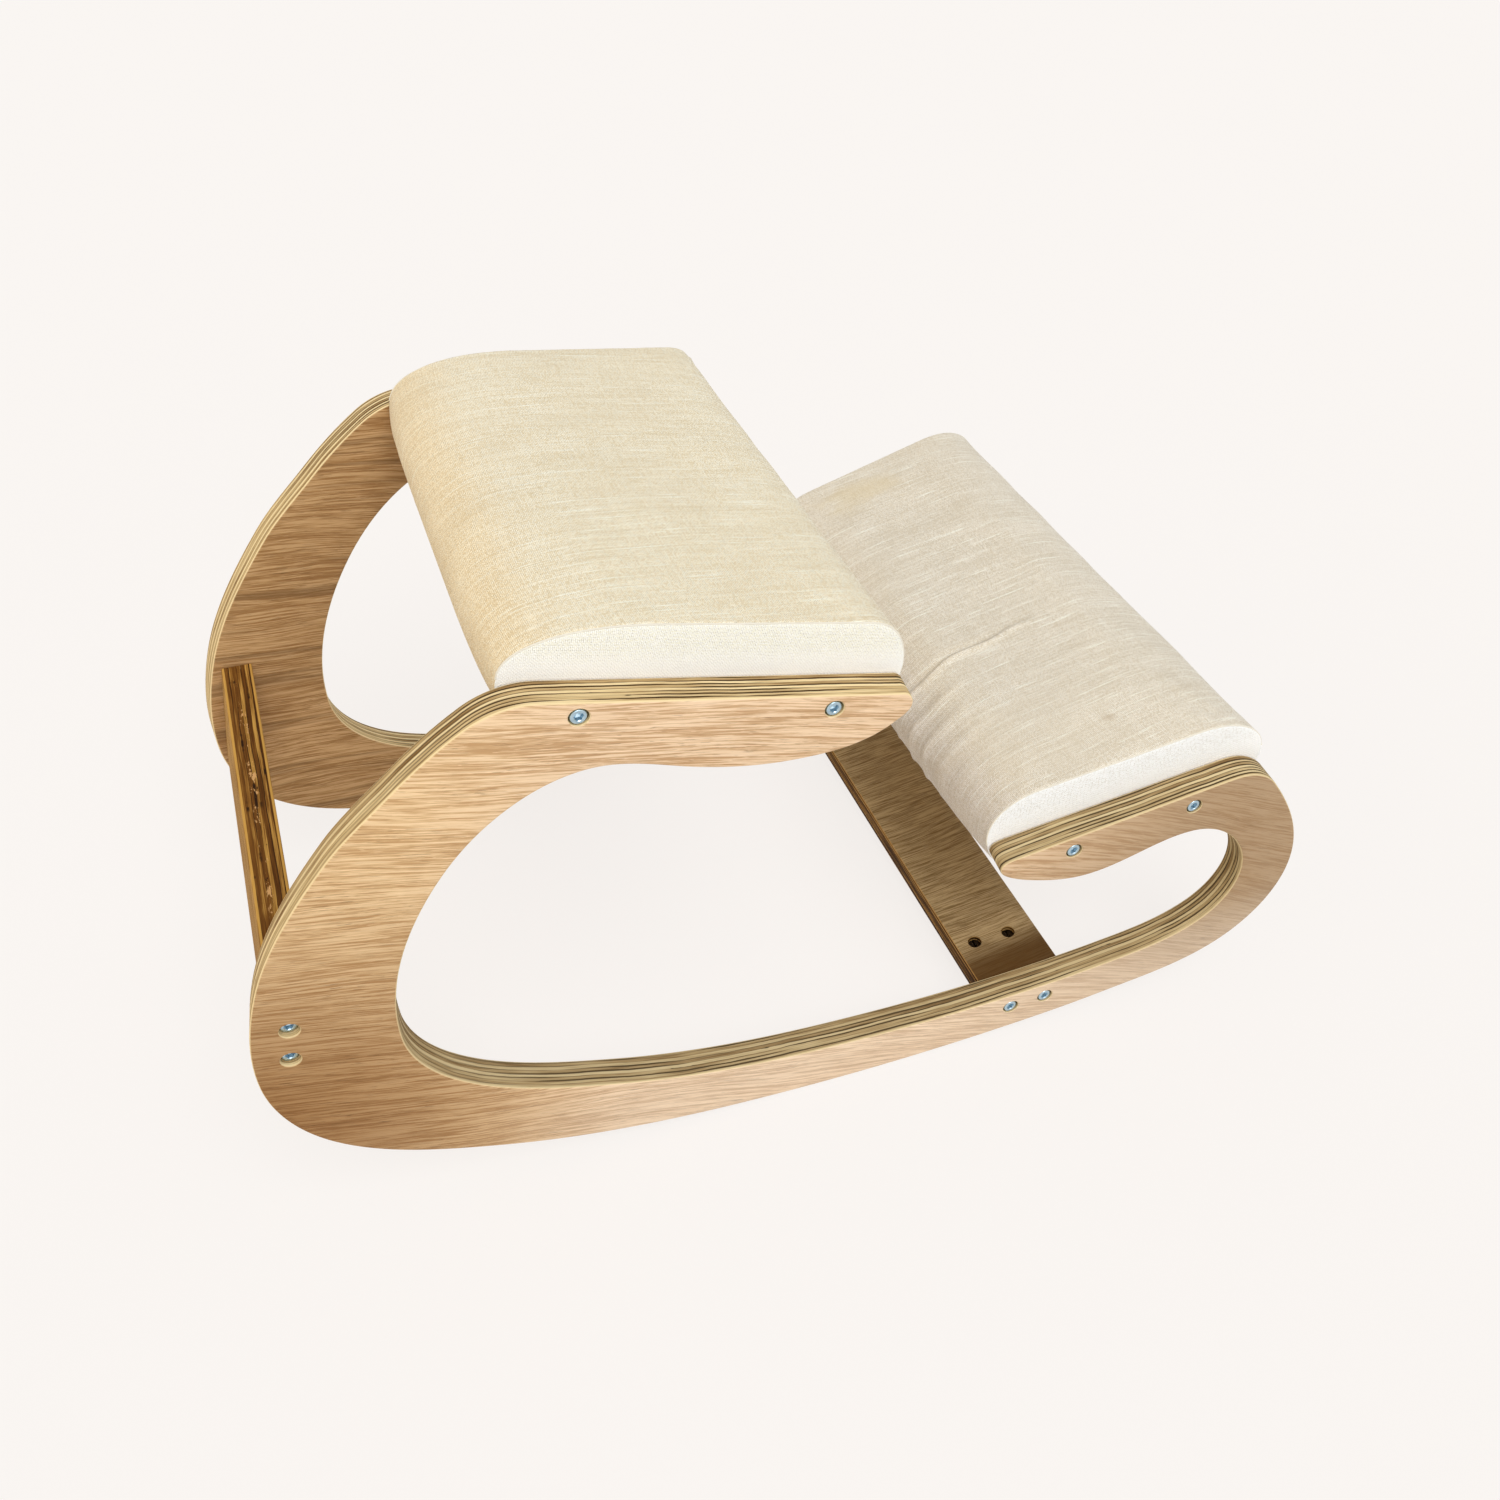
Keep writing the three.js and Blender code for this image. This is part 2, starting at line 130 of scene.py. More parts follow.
def lean_pose(place, slope):
    return Matrix.Translation(place) @ Matrix.Rotation(slope, 4, "X")


def mesh_piece(name, points, faces, pose=None):
    mesh = bpy.data.meshes.new(name)
    mesh.from_pydata(points, [], faces)
    body = bmesh.new()
    body.from_mesh(mesh)
    bmesh.ops.recalc_face_normals(body, faces=body.faces)
    body.to_mesh(mesh)
    body.free()
    piece = bpy.data.objects.new(name, mesh)
    scene.collection.objects.link(piece)
    if pose is not None:
        piece.matrix_world = pose
    return piece


def settle(piece):
    """The piece's mesh with its modifiers applied."""
    bpy.context.view_layer.update()
    shown = piece.evaluated_get(bpy.context.evaluated_depsgraph_get())
    mesh = bpy.data.meshes.new_from_object(shown)
    piece.modifiers.clear()
    piece.data = mesh
    mesh.name = piece.name


def carve(piece, cutters):
    """Cuts every cutter out of the piece, one after the other, and removes it."""
    for cutter in cutters:
        cut = piece.modifiers.new("cut", "BOOLEAN")
        cut.operation, cut.solver, cut.object = "DIFFERENCE", "EXACT", cutter
        settle(piece)
        bpy.data.objects.remove(cutter)


def smooth(piece, crease=32):
    """Smooth shading that breaks at edges sharper than crease degrees."""
    piece.data.shade_smooth()
    piece.data.set_sharp_from_angle(angle=math.radians(crease))


def turned(name, profile, sides, poses):
    """A solid turned about its own X from (distance, radius) pairs, once at each pose."""
    points, faces = [], []
    for pose in poses:
        first = len(points)
        for along, radius in profile:
            for k in range(sides):
                angle = 2 * math.pi * k / sides
                points.append(pose @ Vector((along, radius * math.cos(angle), radius * math.sin(angle))))
        for i in range(len(profile) - 1):
            for k in range(sides):
                a, b = first + i * sides + k, first + i * sides + (k + 1) % sides
                faces.append((a, b, b + sides, a + sides))
        last = first + (len(profile) - 1) * sides
        faces.append(tuple(range(first, first + sides)))
        faces.append(tuple(range(last, last + sides)))
    return mesh_piece(name, points, faces)


# every screw's line, in the chair's YZ plane, with how far its board's end lies inside the frames
screw_reach, clearance_hole = 0.060, 0.0035
counterbore, counterbore_depth, rail_counterbore_depth = 0.006, 0.007, 0.010
nut_radius, nut_long, nut_inset, overrun = 0.005, 0.014, 0.0345, 0.003
fit_gap, cloth = 0.0003, 0.0012
seat_size = dict(front=-0.0056, rear=0.233, rise=0.0368, crown=0.0024, swell=0.002, rear_swell=0.0045,
                 front_round=0.027, rear_round=0.086, drop=0.0, slack=0.0)
knee_size = dict(front=-0.041, rear=0.170, rise=0.0362, crown=0.0034, swell=0.002, rear_swell=0.0045,
                 front_round=0.050, rear_round=0.042, drop=0.0024, slack=0.0035)


def pad_pose(arm, drop):
    front, rear = [place_on_frame(end, ply) for end in arm]
    slope = math.atan2(rear.z - front.z, rear.y - front.y)
    return lean_pose(front + Vector((0, drop * math.sin(slope), -drop * math.cos(slope))), slope)


def bar_pose(shares, tilt):
    bolts = place_on_frame(on_frame(*shares))
    slope = tilt + rest_lean
    return lean_pose(bolts + Vector((0, -math.sin(slope), math.cos(slope))) * ply / 2, slope)


poses = {
    "seat": pad_pose(seat_arm, seat_size["drop"]),
    "knee": pad_pose(knee_arm, knee_size["drop"]),
    "crossbar": bar_pose((-0.217, 0.0805), math.radians(-5.4)),
    "rear_rail": bar_pose((0.469, 0.437), math.radians(97.3)),
}
pad_clearance = 2 * fit_gap + cloth
screw_rows = {  # places along each piece, labels, clearance at its ends, its nuts' side, depth sunk
    "seat": ((0.0442, 0.0442 + 0.1484), ("front", "rear"), pad_clearance, -1, counterbore_depth),
    "knee": ((0.0263, 0.0263 + 0.0914), ("front", "rear"), pad_clearance, -1, counterbore_depth),
    "crossbar": ((-0.01375, 0.01375), ("front", "rear"), fit_gap, 1, counterbore_depth),
    "rear_rail": ((-0.01305, 0.01305), ("lower", "upper"), fit_gap, 1, rail_counterbore_depth),
}
screws = []
for group, (places, labels, clearance, nut_side, sunk) in screw_rows.items():
    for along, label in zip(places, labels):
        at = poses[group] @ Vector((0, along, -ply / 2))
        screws.append(dict(group=group, label=label, along=along, at=at, clearance=clearance,
                           nut_side=nut_side, sunk=sunk))


def screw_pose(screw, side):
    """The screw's axis at its seat in the frame, X pointing out of the counterbore."""
    seat = half_width(screw["at"].y) - screw["sunk"]
    turn = Matrix.Rotation(0 if side > 0 else math.pi, 4, "Z")
    return Matrix.Translation((side * seat, screw["at"].y, screw["at"].z)) @ turn


def side_frame(name, side):
    across = Vector((math.cos(toe_in), side * math.sin(toe_in), 0))
    rearward = Vector((-side * math.sin(toe_in), math.cos(toe_in), 0))
    pose = Matrix((
        (rearward.x, 0, across.x, side * frame_spread / 2),
        (rearward.y, 0, across.y, -middle),
        (0, 1, 0, -sole),
        (0, 0, 0, 1),
    ))
    low = -ply if side > 0 else 0.0
    count = len(outline)
    inward = []
    for i, point in enumerate(outline):
        run = outline[(i + 1) % count] - outline[i - 1]
        inward.append(Vector((run.y, -run.x)).normalized())
    bends = 4
    rings = []
    for k in range(bends + 1):
        angle = k / bends * math.pi / 2
        rings.append((frame_ease * (1 - math.sin(angle)), low + frame_ease * (1 - math.cos(angle))))
    for k in range(bends, -1, -1):
        angle = k / bends * math.pi / 2
        rings.append((frame_ease * (1 - math.sin(angle)), low + ply - frame_ease * (1 - math.cos(angle))))
    points, faces = [], []
    for inset, depth in rings:
        for point, out in zip(outline, inward):
            place = point + out * inset
            points.append((place.x, place.y, depth))
    for r in range(len(rings) - 1):
        for i in range(count):
            a, b = r * count + i, r * count + (i + 1) % count
            faces.append((a, b, b + count, a + count))
    faces.append(tuple(range(count)))
    faces.append(tuple(range((len(rings) - 1) * count, len(rings) * count)))
    piece = mesh_piece(name, points, faces, pose)
    out_of_face = rail_counterbore_depth + overrun
    bore = [(-screw_reach, clearance_hole), (0, clearance_hole), (0, counterbore), (out_of_face, counterbore)]
    mouths = []
    for screw in screws:
        depth_place = pose.inverted() @ Vector((side * half_width(screw["at"].y), screw["at"].y, screw["at"].z))
        mouths.append(pose @ Matrix.Translation((depth_place.x, depth_place.y, 0)) @ Matrix.Rotation(
            -side * math.pi / 2, 4, "Y"))
    mouth = [(-mouth_ease, counterbore), (mouth_ease, counterbore + 2 * mouth_ease)]
    carve(piece, [
        turned("bores", bore, 48, [screw_pose(screw, side) for screw in screws]),
        turned("mouths", mouth, 48, mouths),
    ])
    smooth(piece)
    return piece


def linear(colour):
    """A colour written in 0 to 255 as Blender's shaders take it."""
    parts = [c / 255 for c in colour]
    return tuple(c / 12.92 if c <= 0.04045 else ((c + 0.055) / 1.055) ** 2.4 for c in parts) + (1.0,)


class Shade:
    """A material's node tree, written as calls that give the next value."""

    def __init__(self, name):
        self.material = bpy.data.materials.new(name)
        self.material.use_nodes = True
        self.tree = self.material.node_tree
        self.surface = self.tree.nodes["Principled BSDF"]

    def node(self, kind, inputs=(), **settings):
        made = self.tree.nodes.new("ShaderNode" + kind)
        for key, value in settings.items():
            setattr(made, key, value)
        for key, value in dict(inputs).items():
            socket = made.inputs[key]
            if isinstance(value, bpy.types.NodeSocket):
                self.tree.links.new(value, socket)
            else:
                socket.default_value = value
        return made

    def math(self, operation, first, second=0.0, third=0.0):
        return self.node("Math", {0: first, 1: second, 2: third}, operation=operation).outputs[0]

    def mapping(self, vector, scale=(1, 1, 1), turn=(0, 0, 0), shift=(0, 0, 0)):
        return self.node("Mapping", {0: vector, 1: shift, 2: turn, 3: scale}).outputs[0]

    def noise(self, vector, scale=1.0, detail=2.0, rough=0.5, distortion=0.0):
        made = self.node("TexNoise", {"Vector": vector, "Scale": scale, "Detail": detail,
                                      "Roughness": rough, "Distortion": distortion})
        return made.outputs[0]

    def steps(self, value, low, high, start=0.0, end=1.0):
        """value taken from low..high to start..end, held outside."""
        made = self.node("MapRange", {0: value, 1: low, 2: high, 3: start, 4: end}, interpolation_type="SMOOTHSTEP")
        return made.outputs[0]

    def ramp(self, value, *stops):
        made = self.node("ValToRGB", {0: value})
        band = made.color_ramp
        while len(band.elements) < len(stops):
            band.elements.new(0.5)
        for element, (place, colour) in zip(band.elements, stops):
            element.position = place
            element.color = linear(colour)
        return made.outputs[0]

    def blend(self, share, first, second, way="MIX"):
        made = self.node("Mix", {0: share}, data_type="RGBA", blend_type=way)
        for socket, value in ((made.inputs[6], first), (made.inputs[7], second)):
            if isinstance(value, bpy.types.NodeSocket):
                self.tree.links.new(value, socket)
            else:
                socket.default_value = linear(value)
        return made.outputs[2]

    def split(self, vector):
        return self.node("SeparateXYZ", {0: vector}).outputs

    def join(self, x, y, z):
        return self.node("CombineXYZ", {0: x, 1: y, 2: z}).outputs[0]

    def bump(self, height, strength, distance, under=None):
        inputs = {"Height": height, "Strength": strength, "Distance": distance}
        if under is not None:
            inputs["Normal"] = under
        return self.node("Bump", inputs).outputs[0]

    def finish(self, colour, roughness, normal=None, **settings):
        self.tree.links.new(colour, self.surface.inputs["Base Color"])
        if isinstance(roughness, bpy.types.NodeSocket):
            self.tree.links.new(roughness, self.surface.inputs["Roughness"])
        else:
            self.surface.inputs["Roughness"].default_value = roughness
        if normal is not None:
            self.tree.links.new(normal, self.surface.inputs["Normal"])
        for key, value in settings.items():
            self.surface.inputs[key.replace("_", " ")].default_value = value
        return self.material


def plywood(name, light, mid, dark, grain, seed, bold=0.0, rough=0.0, painted_shade=None, plies=None, rind=0.0013,
            shaded=0.0, fine=1.0, glue=1.0, drawn=1.0, inside=None):
    """Veneered plywood. Its thickness runs along the piece's own Z, from its face at 0.

    inside gives the veneer at the far face, where that is another one; the frames get a browner copy of their oak
    there, as painted shade on their inner faces.
    """
    s = Shade(name)
    place = s.node("TexCoord").outputs["Object"]
    pale, tan, brown, gap = plies or ((238, 216, 168), (196, 168, 120), (130, 98, 57), (62, 40, 17))
    # the veneer's figure, lengthwise along the grain and steeper towards the front
    x, y, _ = s.split(s.mapping(place, turn=(0, 0, -grain)))
    ahead = s.math("MINIMUM", x, 0.0)
    y = s.math("ADD", y, s.math("MULTIPLY", s.math("MULTIPLY", ahead, ahead), 0.45))
    sway = s.noise(s.join(s.math("MULTIPLY", x, 5), s.math("MULTIPLY", y, 12), seed), 1, 2)
    y = s.math("ADD", y, s.math("MULTIPLY", sway, 0.018 + 0.02 * bold))

    def figure(lengthwise, across, shift, detail=2.0):
        spread = s.join(s.math("MULTIPLY", x, lengthwise * fine), s.math("MULTIPLY", y, across * fine), seed + shift)
        return s.noise(spread, 1, detail, 0.6)

    fibre, streak = figure(40, 1300, 1, 3), figure(20, 660, 2, 3.5)
    wave, band = figure(9, 230, 7), figure(4, 80, 3)
    cloud, pore = figure(5, 15, 4), figure(80, 1500, 5)
    tone = s.math("ADD", s.math("MULTIPLY", fibre, 0.34), s.math("MULTIPLY", streak, 0.46))
    tone = s.math("ADD", tone, s.math("MULTIPLY", wave, 0.12))
    tone = s.math("ADD", tone, s.math("MULTIPLY", band, 0.08))
    tone = s.steps(tone, 0.435, 0.565)
    ridge = s.steps(s.math("ABSOLUTE", s.math("SUBTRACT", figure(16, 560, 8), 0.5)), 0.020, 0.006)
    vein = s.steps(s.math("ABSOLUTE", s.math("SUBTRACT", figure(11, 430, 9), 0.5)), 0.017, 0.005)
    vein = s.math("MULTIPLY", vein, s.steps(band, 0.66, 0.42, 0.25, 1.0))
    clouded = s.math("MULTIPLY", s.steps(cloud, 0.42, 0.66), 0.12)
    ticks = s.math("MULTIPLY", s.steps(pore, 0.39, 0.31), s.steps(band, 0.62, 0.40, 0.2, 0.7))
    plume = s.steps(figure(3.0, 74, 6, 3), 0.56, 0.64)

    def veneer(light, mid, dark, bold):
        skin = s.ramp(tone, (0, dark), (0.5, mid), (1, light))
        skin = s.blend(s.math("MULTIPLY", ridge, (0.5 - 0.3 * bold) * drawn), skin, tuple(min(255, c + 16) for c in light))
        skin = s.blend(s.math("MULTIPLY", vein, (0.40 + 0.2 * bold) * drawn), skin, tuple(c * 0.86 for c in dark))
        skin = s.blend(clouded, skin, dark)
        skin = s.blend(ticks, skin, tuple(c * 0.72 for c in dark))
        if bold:
            skin = s.blend(s.math("MULTIPLY", plume, bold), skin, tuple(c * 0.74 for c in dark))
        return skin

    face = veneer(light, mid, dark, 0.0 if inside else bold)
    # the function given here paints shade and light onto the face veneer
    if painted_shade is not None:
        face = painted_shade(s, face, place)
    # painted shade: the far face takes the darker copy of the veneer
    if inside is not None:
        within = s.steps(s.math("ABSOLUTE", s.split(place)[2]), ply * 0.4, ply * 0.6)
        face = s.blend(within, face, veneer(*inside))
    # the plies that show along every sawn edge
    depth = s.math("ABSOLUTE", s.split(place)[2])
    wander = s.noise(s.mapping(place, scale=(9, 9, 0), shift=(seed, 0, 0)), 1, 2)
    ripple = s.noise(s.mapping(place, scale=(55, 55, 0), shift=(0, seed, 0)), 1, 2)
    count = s.math("MULTIPLY", depth, 7.6 / ply)
    count = s.math("ADD", count, s.math("MULTIPLY", s.math("SUBTRACT", wander, 0.5), 1.5))
    count = s.math("ADD", count, s.math("MULTIPLY", s.math("SUBTRACT", ripple, 0.5), 0.30))
    ply_no = s.math("FLOOR", count)
    ply_tone = s.node("TexWhiteNoise", {"W": s.math("ADD", ply_no, seed)}, noise_dimensions="1D").outputs[0]
    cross = s.math("PINGPONG", ply_no, 1.0)
    strand = s.noise(s.mapping(place, scale=(34, 34, 1500), shift=(seed, 0, 0)), 1, 3, 0.6)
    edge_tone = s.math("ADD", s.math("MULTIPLY", ply_tone, 0.42), s.math("MULTIPLY", cross, 0.26))
    edge_tone = s.math("ADD", edge_tone, s.math("MULTIPLY", s.math("SUBTRACT", strand, 0.36), 1.15))
    ply_place = s.join(s.split(place)[0], s.split(place)[1], s.math("MULTIPLY", ply_no, 0.53))
    patch = s.noise(s.mapping(ply_place, scale=(15, 15, 9), shift=(0, 0, seed)), 1, 2)
    edge_tone = s.math("ADD", edge_tone, s.math("MULTIPLY", s.math("SUBTRACT", patch, 0.5), 0.9))
    sides = s.ramp(edge_tone, (0.10 + 0.1 * rough, brown), (0.42 + 0.18 * rough, tan), (0.8 + 0.2 * rough, pale))
    seam_no = s.math("ROUND", count)
    off_seam = s.math("ABSOLUTE", s.math("SUBTRACT", count, seam_no))
    seam_place = s.join(s.split(place)[0], s.split(place)[1], s.math("MULTIPLY", seam_no, 0.37))
    seam_dark = s.noise(s.mapping(seam_place, scale=(10, 10, 9), shift=(seed, 0, 0)), 1, 3)
    seam_wide = s.steps(seam_dark, 0.36, 0.62, 0.09 * glue, 0.34 * glue)
    line = s.steps(s.math("DIVIDE", off_seam, seam_wide), 1.0, 0.45)
    inked = s.steps(s.split(place)[0], 0.29, 0.17, 0.28, 1.0)
    inked = s.math("MULTIPLY", s.steps(seam_dark, 0.36, 0.52, 0.35, 1.0), inked)
    sides = s.blend(s.math("MULTIPLY", line, inked), sides, gap)
    # dark voids in the sawn plies: painted shade in their hollows
    chip = s.noise(s.mapping(seam_place, scale=(20, 20, 9), shift=(0, seed, 3)), 1, 4, 0.7)
    hollow = s.steps(chip, 0.64 - 0.06 * rough, 0.70 - 0.06 * rough)
    void = s.math("MULTIPLY", hollow, s.steps(off_seam, 0.20 + 0.2 * rough, 0.12 + 0.1 * rough))
    sides = s.blend(void, sides, tuple(c * (0.45 + 0.35 * rough) for c in gap))
    if rough:
        core = s.steps(s.math("ABSOLUTE", s.math("SUBTRACT", depth, ply * 0.52)), ply * 0.18, ply * 0.06)
        flake = s.noise(s.mapping(place, scale=(110, 110, 300), shift=(seed, 2, 0)), 1, 4, 0.7)
        sides = s.blend(s.math("MULTIPLY", s.steps(flake, 0.60, 0.63), core), sides, (206, 160, 104))
        # painted shade: dark pits beside the pale chips in the rough core
        pit = s.noise(s.mapping(place, scale=(100, 100, 260), shift=(seed, 5, 0.004)), 1, 3, 0.6)
        sides = s.blend(s.math("MULTIPLY", s.steps(pit, 0.65, 0.68), core), sides, tuple(c * 0.8 for c in gap))
    # a face veneer at each side, and a pale line along each eased arris that is partly the sanded-through veneer and
    # partly a painted highlight
    skin, arris = 0.0006, 0.0002
    from_back = s.math("SUBTRACT", ply, depth)
    nearest = s.math("MINIMUM", depth, from_back)
    sides = s.blend(s.steps(nearest, rind * 1.1, rind * 0.9), sides, pale)
    # painted shade: the sawn edges greyed low down, as much as shaded gives, except at the back
    painted_edge_shade = s.math("MULTIPLY", s.steps(s.split(place)[1], 0.28, 0.17, 0.0, shaded), s.steps(s.split(place)[0], 0.33, 0.30))
    sides = s.blend(painted_edge_shade, sides, (112, 102, 78))
    on_face = s.steps(nearest, skin * 1.05, skin * 0.95)
    colour = s.blend(on_face, sides, face)
    rim = s.math("MULTIPLY", s.steps(nearest, arris, arris * 2), on_face)
    colour = s.blend(s.math("MULTIPLY", rim, 0.6), colour, pale)
    face_height = s.math("ADD", s.math("MULTIPLY", streak, 0.5), s.math("MULTIPLY", s.steps(pore, 0.30, 0.38), 0.4))
    edge_height = s.math("SUBTRACT", s.math("SUBTRACT", strand, s.math("MULTIPLY", line, 0.25)), void)
    normal = s.node("Mix", {0: on_face, 4: s.bump(edge_height, 0.3, 0.0006), 5: s.bump(face_height, 0.2, 0.0004)},
                    data_type="VECTOR").outputs[1]
    sheen = s.steps(streak, 0.3, 0.7, 0.58 + 0.3 * rough, 0.46 + 0.3 * rough)
    roughness = s.math("ADD", s.math("MULTIPLY", sheen, on_face),
                       s.math("MULTIPLY", s.math("SUBTRACT", 1.0, on_face), 0.8))
    return s.finish(colour, roughness, normal, Specular_IOR_Level=0.12)


def painted_heel_and_toe_shade(s, face, place):
    """Painted shade and light on the veneer: browner towards the heel's corner, duller up the toe and paler along the
    runner.
    """
    x, y, _ = s.split(place)
    behind, above = s.math("SUBTRACT", x, 0.36), s.math("SUBTRACT", y, 0.11)
    away = s.math("SQRT", s.math("ADD", s.math("MULTIPLY", behind, behind), s.math("MULTIPLY", above, above)))
    # painted shade: a yellower tint over the back
    face = s.blend(s.steps(x, 0.12, 0.27), face, (253, 250, 235), "MULTIPLY")
    # painted shade: darker and browner near the heel's corner
    face = s.blend(s.steps(away, 0.27, 0.0), face, (174, 152, 124), "MULTIPLY")
    # painted shade: duller and greyer up the toe
    toe = s.math("MULTIPLY", s.steps(x, -0.04, -0.31), s.steps(y, 0.0, 0.09, 0.25, 1.0))
    face = s.blend(s.math("MULTIPLY", toe, 0.4), face, (224, 190, 154))
    face = s.blend(toe, face, (195, 191, 183), "MULTIPLY")
    # painted light: a paler runner along the rocker
    runner = s.math("MULTIPLY", s.steps(y, 0.11, 0.03), s.steps(x, 0.26, 0.12))
    return s.blend(s.math("MULTIPLY", runner, 0.26), face, (224, 217, 205))


def painted_end_shade(s, face, place):
    """Painted shade: the crossbar is browner where it runs up to the frames."""
    # painted shade near each end, towards a dark brown
    end = s.math("ABSOLUTE", s.split(place)[0])
    return s.blend(s.steps(end, 0.158, 0.184, 0.0, 0.92), face, (78, 50, 15))


# the second, browner oak is painted shade for the frames' inner faces
oak, shaded_oak = ((238, 209, 176), (225, 193, 156), (194, 156, 116)), ((196, 159, 114), (178, 140, 94), (150, 111, 69))
oak_near = plywood("oak_plywood_right", *oak, math.radians(13.5), 4.3, painted_shade=painted_heel_and_toe_shade, shaded=0.35,
                   inside=(*shaded_oak, 0.5))
oak_far = plywood("oak_plywood_left", *oak, math.radians(13), 8.7, bold=0.5, painted_shade=painted_heel_and_toe_shade, inside=(*shaded_oak, 0.5))
for name, side, wood in (("side_frame_right", -1, oak_near), ("side_frame_left", 1, oak_far)):
    piece = side_frame("oak_" + name, side)
    piece.data.materials.clear()
    piece.data.materials.append(wood)
    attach(piece, "root")
    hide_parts(name)

# Boards across the chair: the seat's and knee rest's base boards, the crossbar flat on the
# rockers and the rail on edge in the backs. All are 21 mm plywood, mitred to the frames and
# bored at each end for two screws and their barrel nuts.
board_ease = 0.0012
crossbar_width, crossbar_shift, rail_high = 0.064, 0.0036, 0.082
pad_tuck = 0.014


def board(name, group, front, rear, wood):
    pose, clearance = poses[group], screw_rows[group][2]
    section = []
    bends = 3
    corners = ((rear, -ply, 270), (rear, 0, 0), (front, 0, 90), (front, -ply, 180))
    for y, z, start in corners:
        cy = y - board_ease if y == rear else y + board_ease
        cz = z + board_ease if z == -ply else z - board_ease
        for k in range(bends + 1):
            angle = math.radians(start + 90 * k / bends)
            section.append((cy + board_ease * math.cos(angle), cz + board_ease * math.sin(angle)))
    points, faces, count = [], [], len(section)
    for side in (-1, 1):
        for y, z in section:
            reach = half_width((pose @ Vector((0, y, z))).y, ply + clearance)
            points.append((side * reach, y, z))
    for k in range(count):
        n = (k + 1) % count
        faces.append((k, n, n + count, k + count))
    faces += [tuple(range(count)), tuple(range(count, 2 * count))]
    piece = mesh_piece(name, points, faces, pose)
    bore = [(-screw_reach - overrun, clearance_hole), (overrun, clearance_hole)]
    lines = [screw for screw in screws if screw["group"] == group]
    bores = turned("bores", bore, 40, [screw_pose(screw, side) for screw in lines for side in (-1, 1)])
    deep = (ply + nut_long) / 2 + fit_gap
    hole = [(-deep, nut_radius + fit_gap), (overrun, nut_radius + fit_gap)]
    mouths = []
    for screw in lines:
        for side in (-1, 1):
            face = 0 if screw["nut_side"] > 0 else -ply
            at = Vector((side * nut_place(screw), screw["along"], face))
            mouths.append(pose @ Matrix.Translation(at) @ Matrix.Rotation(-screw["nut_side"] * math.pi / 2, 4, "Y"))
    carve(piece, [bores, turned("nut_holes", hole, 40, mouths)])
    smooth(piece)
    piece.data.materials.clear()
    piece.data.materials.append(wood)
    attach(piece, "root")
    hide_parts(name.replace("plywood_", ""))
    return piece


def nut_place(screw):
    return half_width(screw["at"].y, ply + screw["clearance"]) - nut_inset


# painted shade: the crossbar's veneer and plies are darker than the frames' oak, for its place under the pads
shaded_crossbar_ply = plywood("oak_plywood_crossbar", (190, 166, 126), (170, 146, 107), (132, 108, 73), math.radians(89), 2.1,
                   bold=0.12, painted_shade=painted_end_shade, fine=1.5, drawn=0.5,
                   plies=((186, 144, 84), (84, 56, 24), (64, 42, 16), (40, 24, 8)))
rail_ply = plywood("oak_plywood_rail", (190, 150, 90), (168, 128, 70), (130, 92, 44), 0.0, 5.9, rough=1.0,
                   plies=((198, 152, 76), (118, 76, 28), (80, 46, 12), (52, 28, 8)), rind=0.0019, glue=0.45)
base_ply = plywood("base_plywood", (214, 186, 140), (196, 164, 116), (160, 126, 82), 0.0, 3.3)
board("plywood_seat_board", "seat", seat_size["front"] + pad_tuck, seat_size["rear"] - pad_tuck, base_ply)
board("plywood_knee_board", "knee", knee_size["front"] + pad_tuck, knee_size["rear"] - pad_tuck, base_ply)
board("plywood_crossbar", "crossbar", -crossbar_width / 2 - crossbar_shift, crossbar_width / 2 - crossbar_shift,
      shaded_crossbar_ply)
board("plywood_rear_rail", "rear_rail", -rail_high / 2, rail_high / 2, rail_ply)

# Cap screws. M6 steel with a bright zinc finish: a turned head with a pressed hexagon socket,
# sunk in the frames' counterbores, and a plain shank that runs into the barrel nut.
head_radius, head_high, head_ease = 0.005, 0.006, 0.0009
shank, socket_radius, socket_deep = 0.003, 0.0029, 0.0032


def zinc(name, tint, seed):
    s = Shade(name)
    place = s.node("TexCoord").outputs["Object"]
    cloud = s.noise(s.mapping(place, scale=(300, 300, 300), shift=(seed, 0, 0)), 1, 3)
    spangle = s.noise(s.mapping(place, scale=(1400, 1400, 1400)), 1, 2)
    colour = s.ramp(cloud, (0.3, tuple(c - 26 for c in tint)), (0.7, tint))
    roughness = s.steps(cloud, 0.3, 0.7, 0.24, 0.42)
    return s.finish(colour, roughness, s.bump(spangle, 0.08, 0.0001), Metallic=1.0)


screw_zinc = zinc("zinc_screw", (190, 213, 226), 1.0)
nut_zinc = zinc("zinc_nut", (74, 68, 62), 5.0)
profile = [(-screw_reach, shank * 0.72), (-screw_reach + 0.001, shank), (0, shank), (0, head_radius - 0.0003),
           (0.0003, head_radius)]
for k in range(6):
    angle = k / 5 * math.pi / 2
    profile.append((head_high - head_ease + head_ease * math.sin(angle),
                    head_radius - head_ease + head_ease * math.cos(angle)))
cap = turned("cap_screw", profile, 48, [Matrix.Identity(4)])
socket = turned("socket", [(head_high - socket_deep - 0.0014, 0.0002), (head_high - socket_deep, socket_radius),
                           (head_high + overrun, socket_radius)], 6, [Matrix.Identity(4)])
mouth = turned("mouth", [(head_high - 0.0007, socket_radius * 0.8), (head_high + 0.0014, socket_radius * 1.5)], 32,
               [Matrix.Identity(4)])
carve(cap, [socket, mouth])
smooth(cap, 25)
cap.data.materials.clear()
cap.data.materials.append(screw_zinc)
cap_mesh = cap.data
bpy.data.objects.remove(cap)

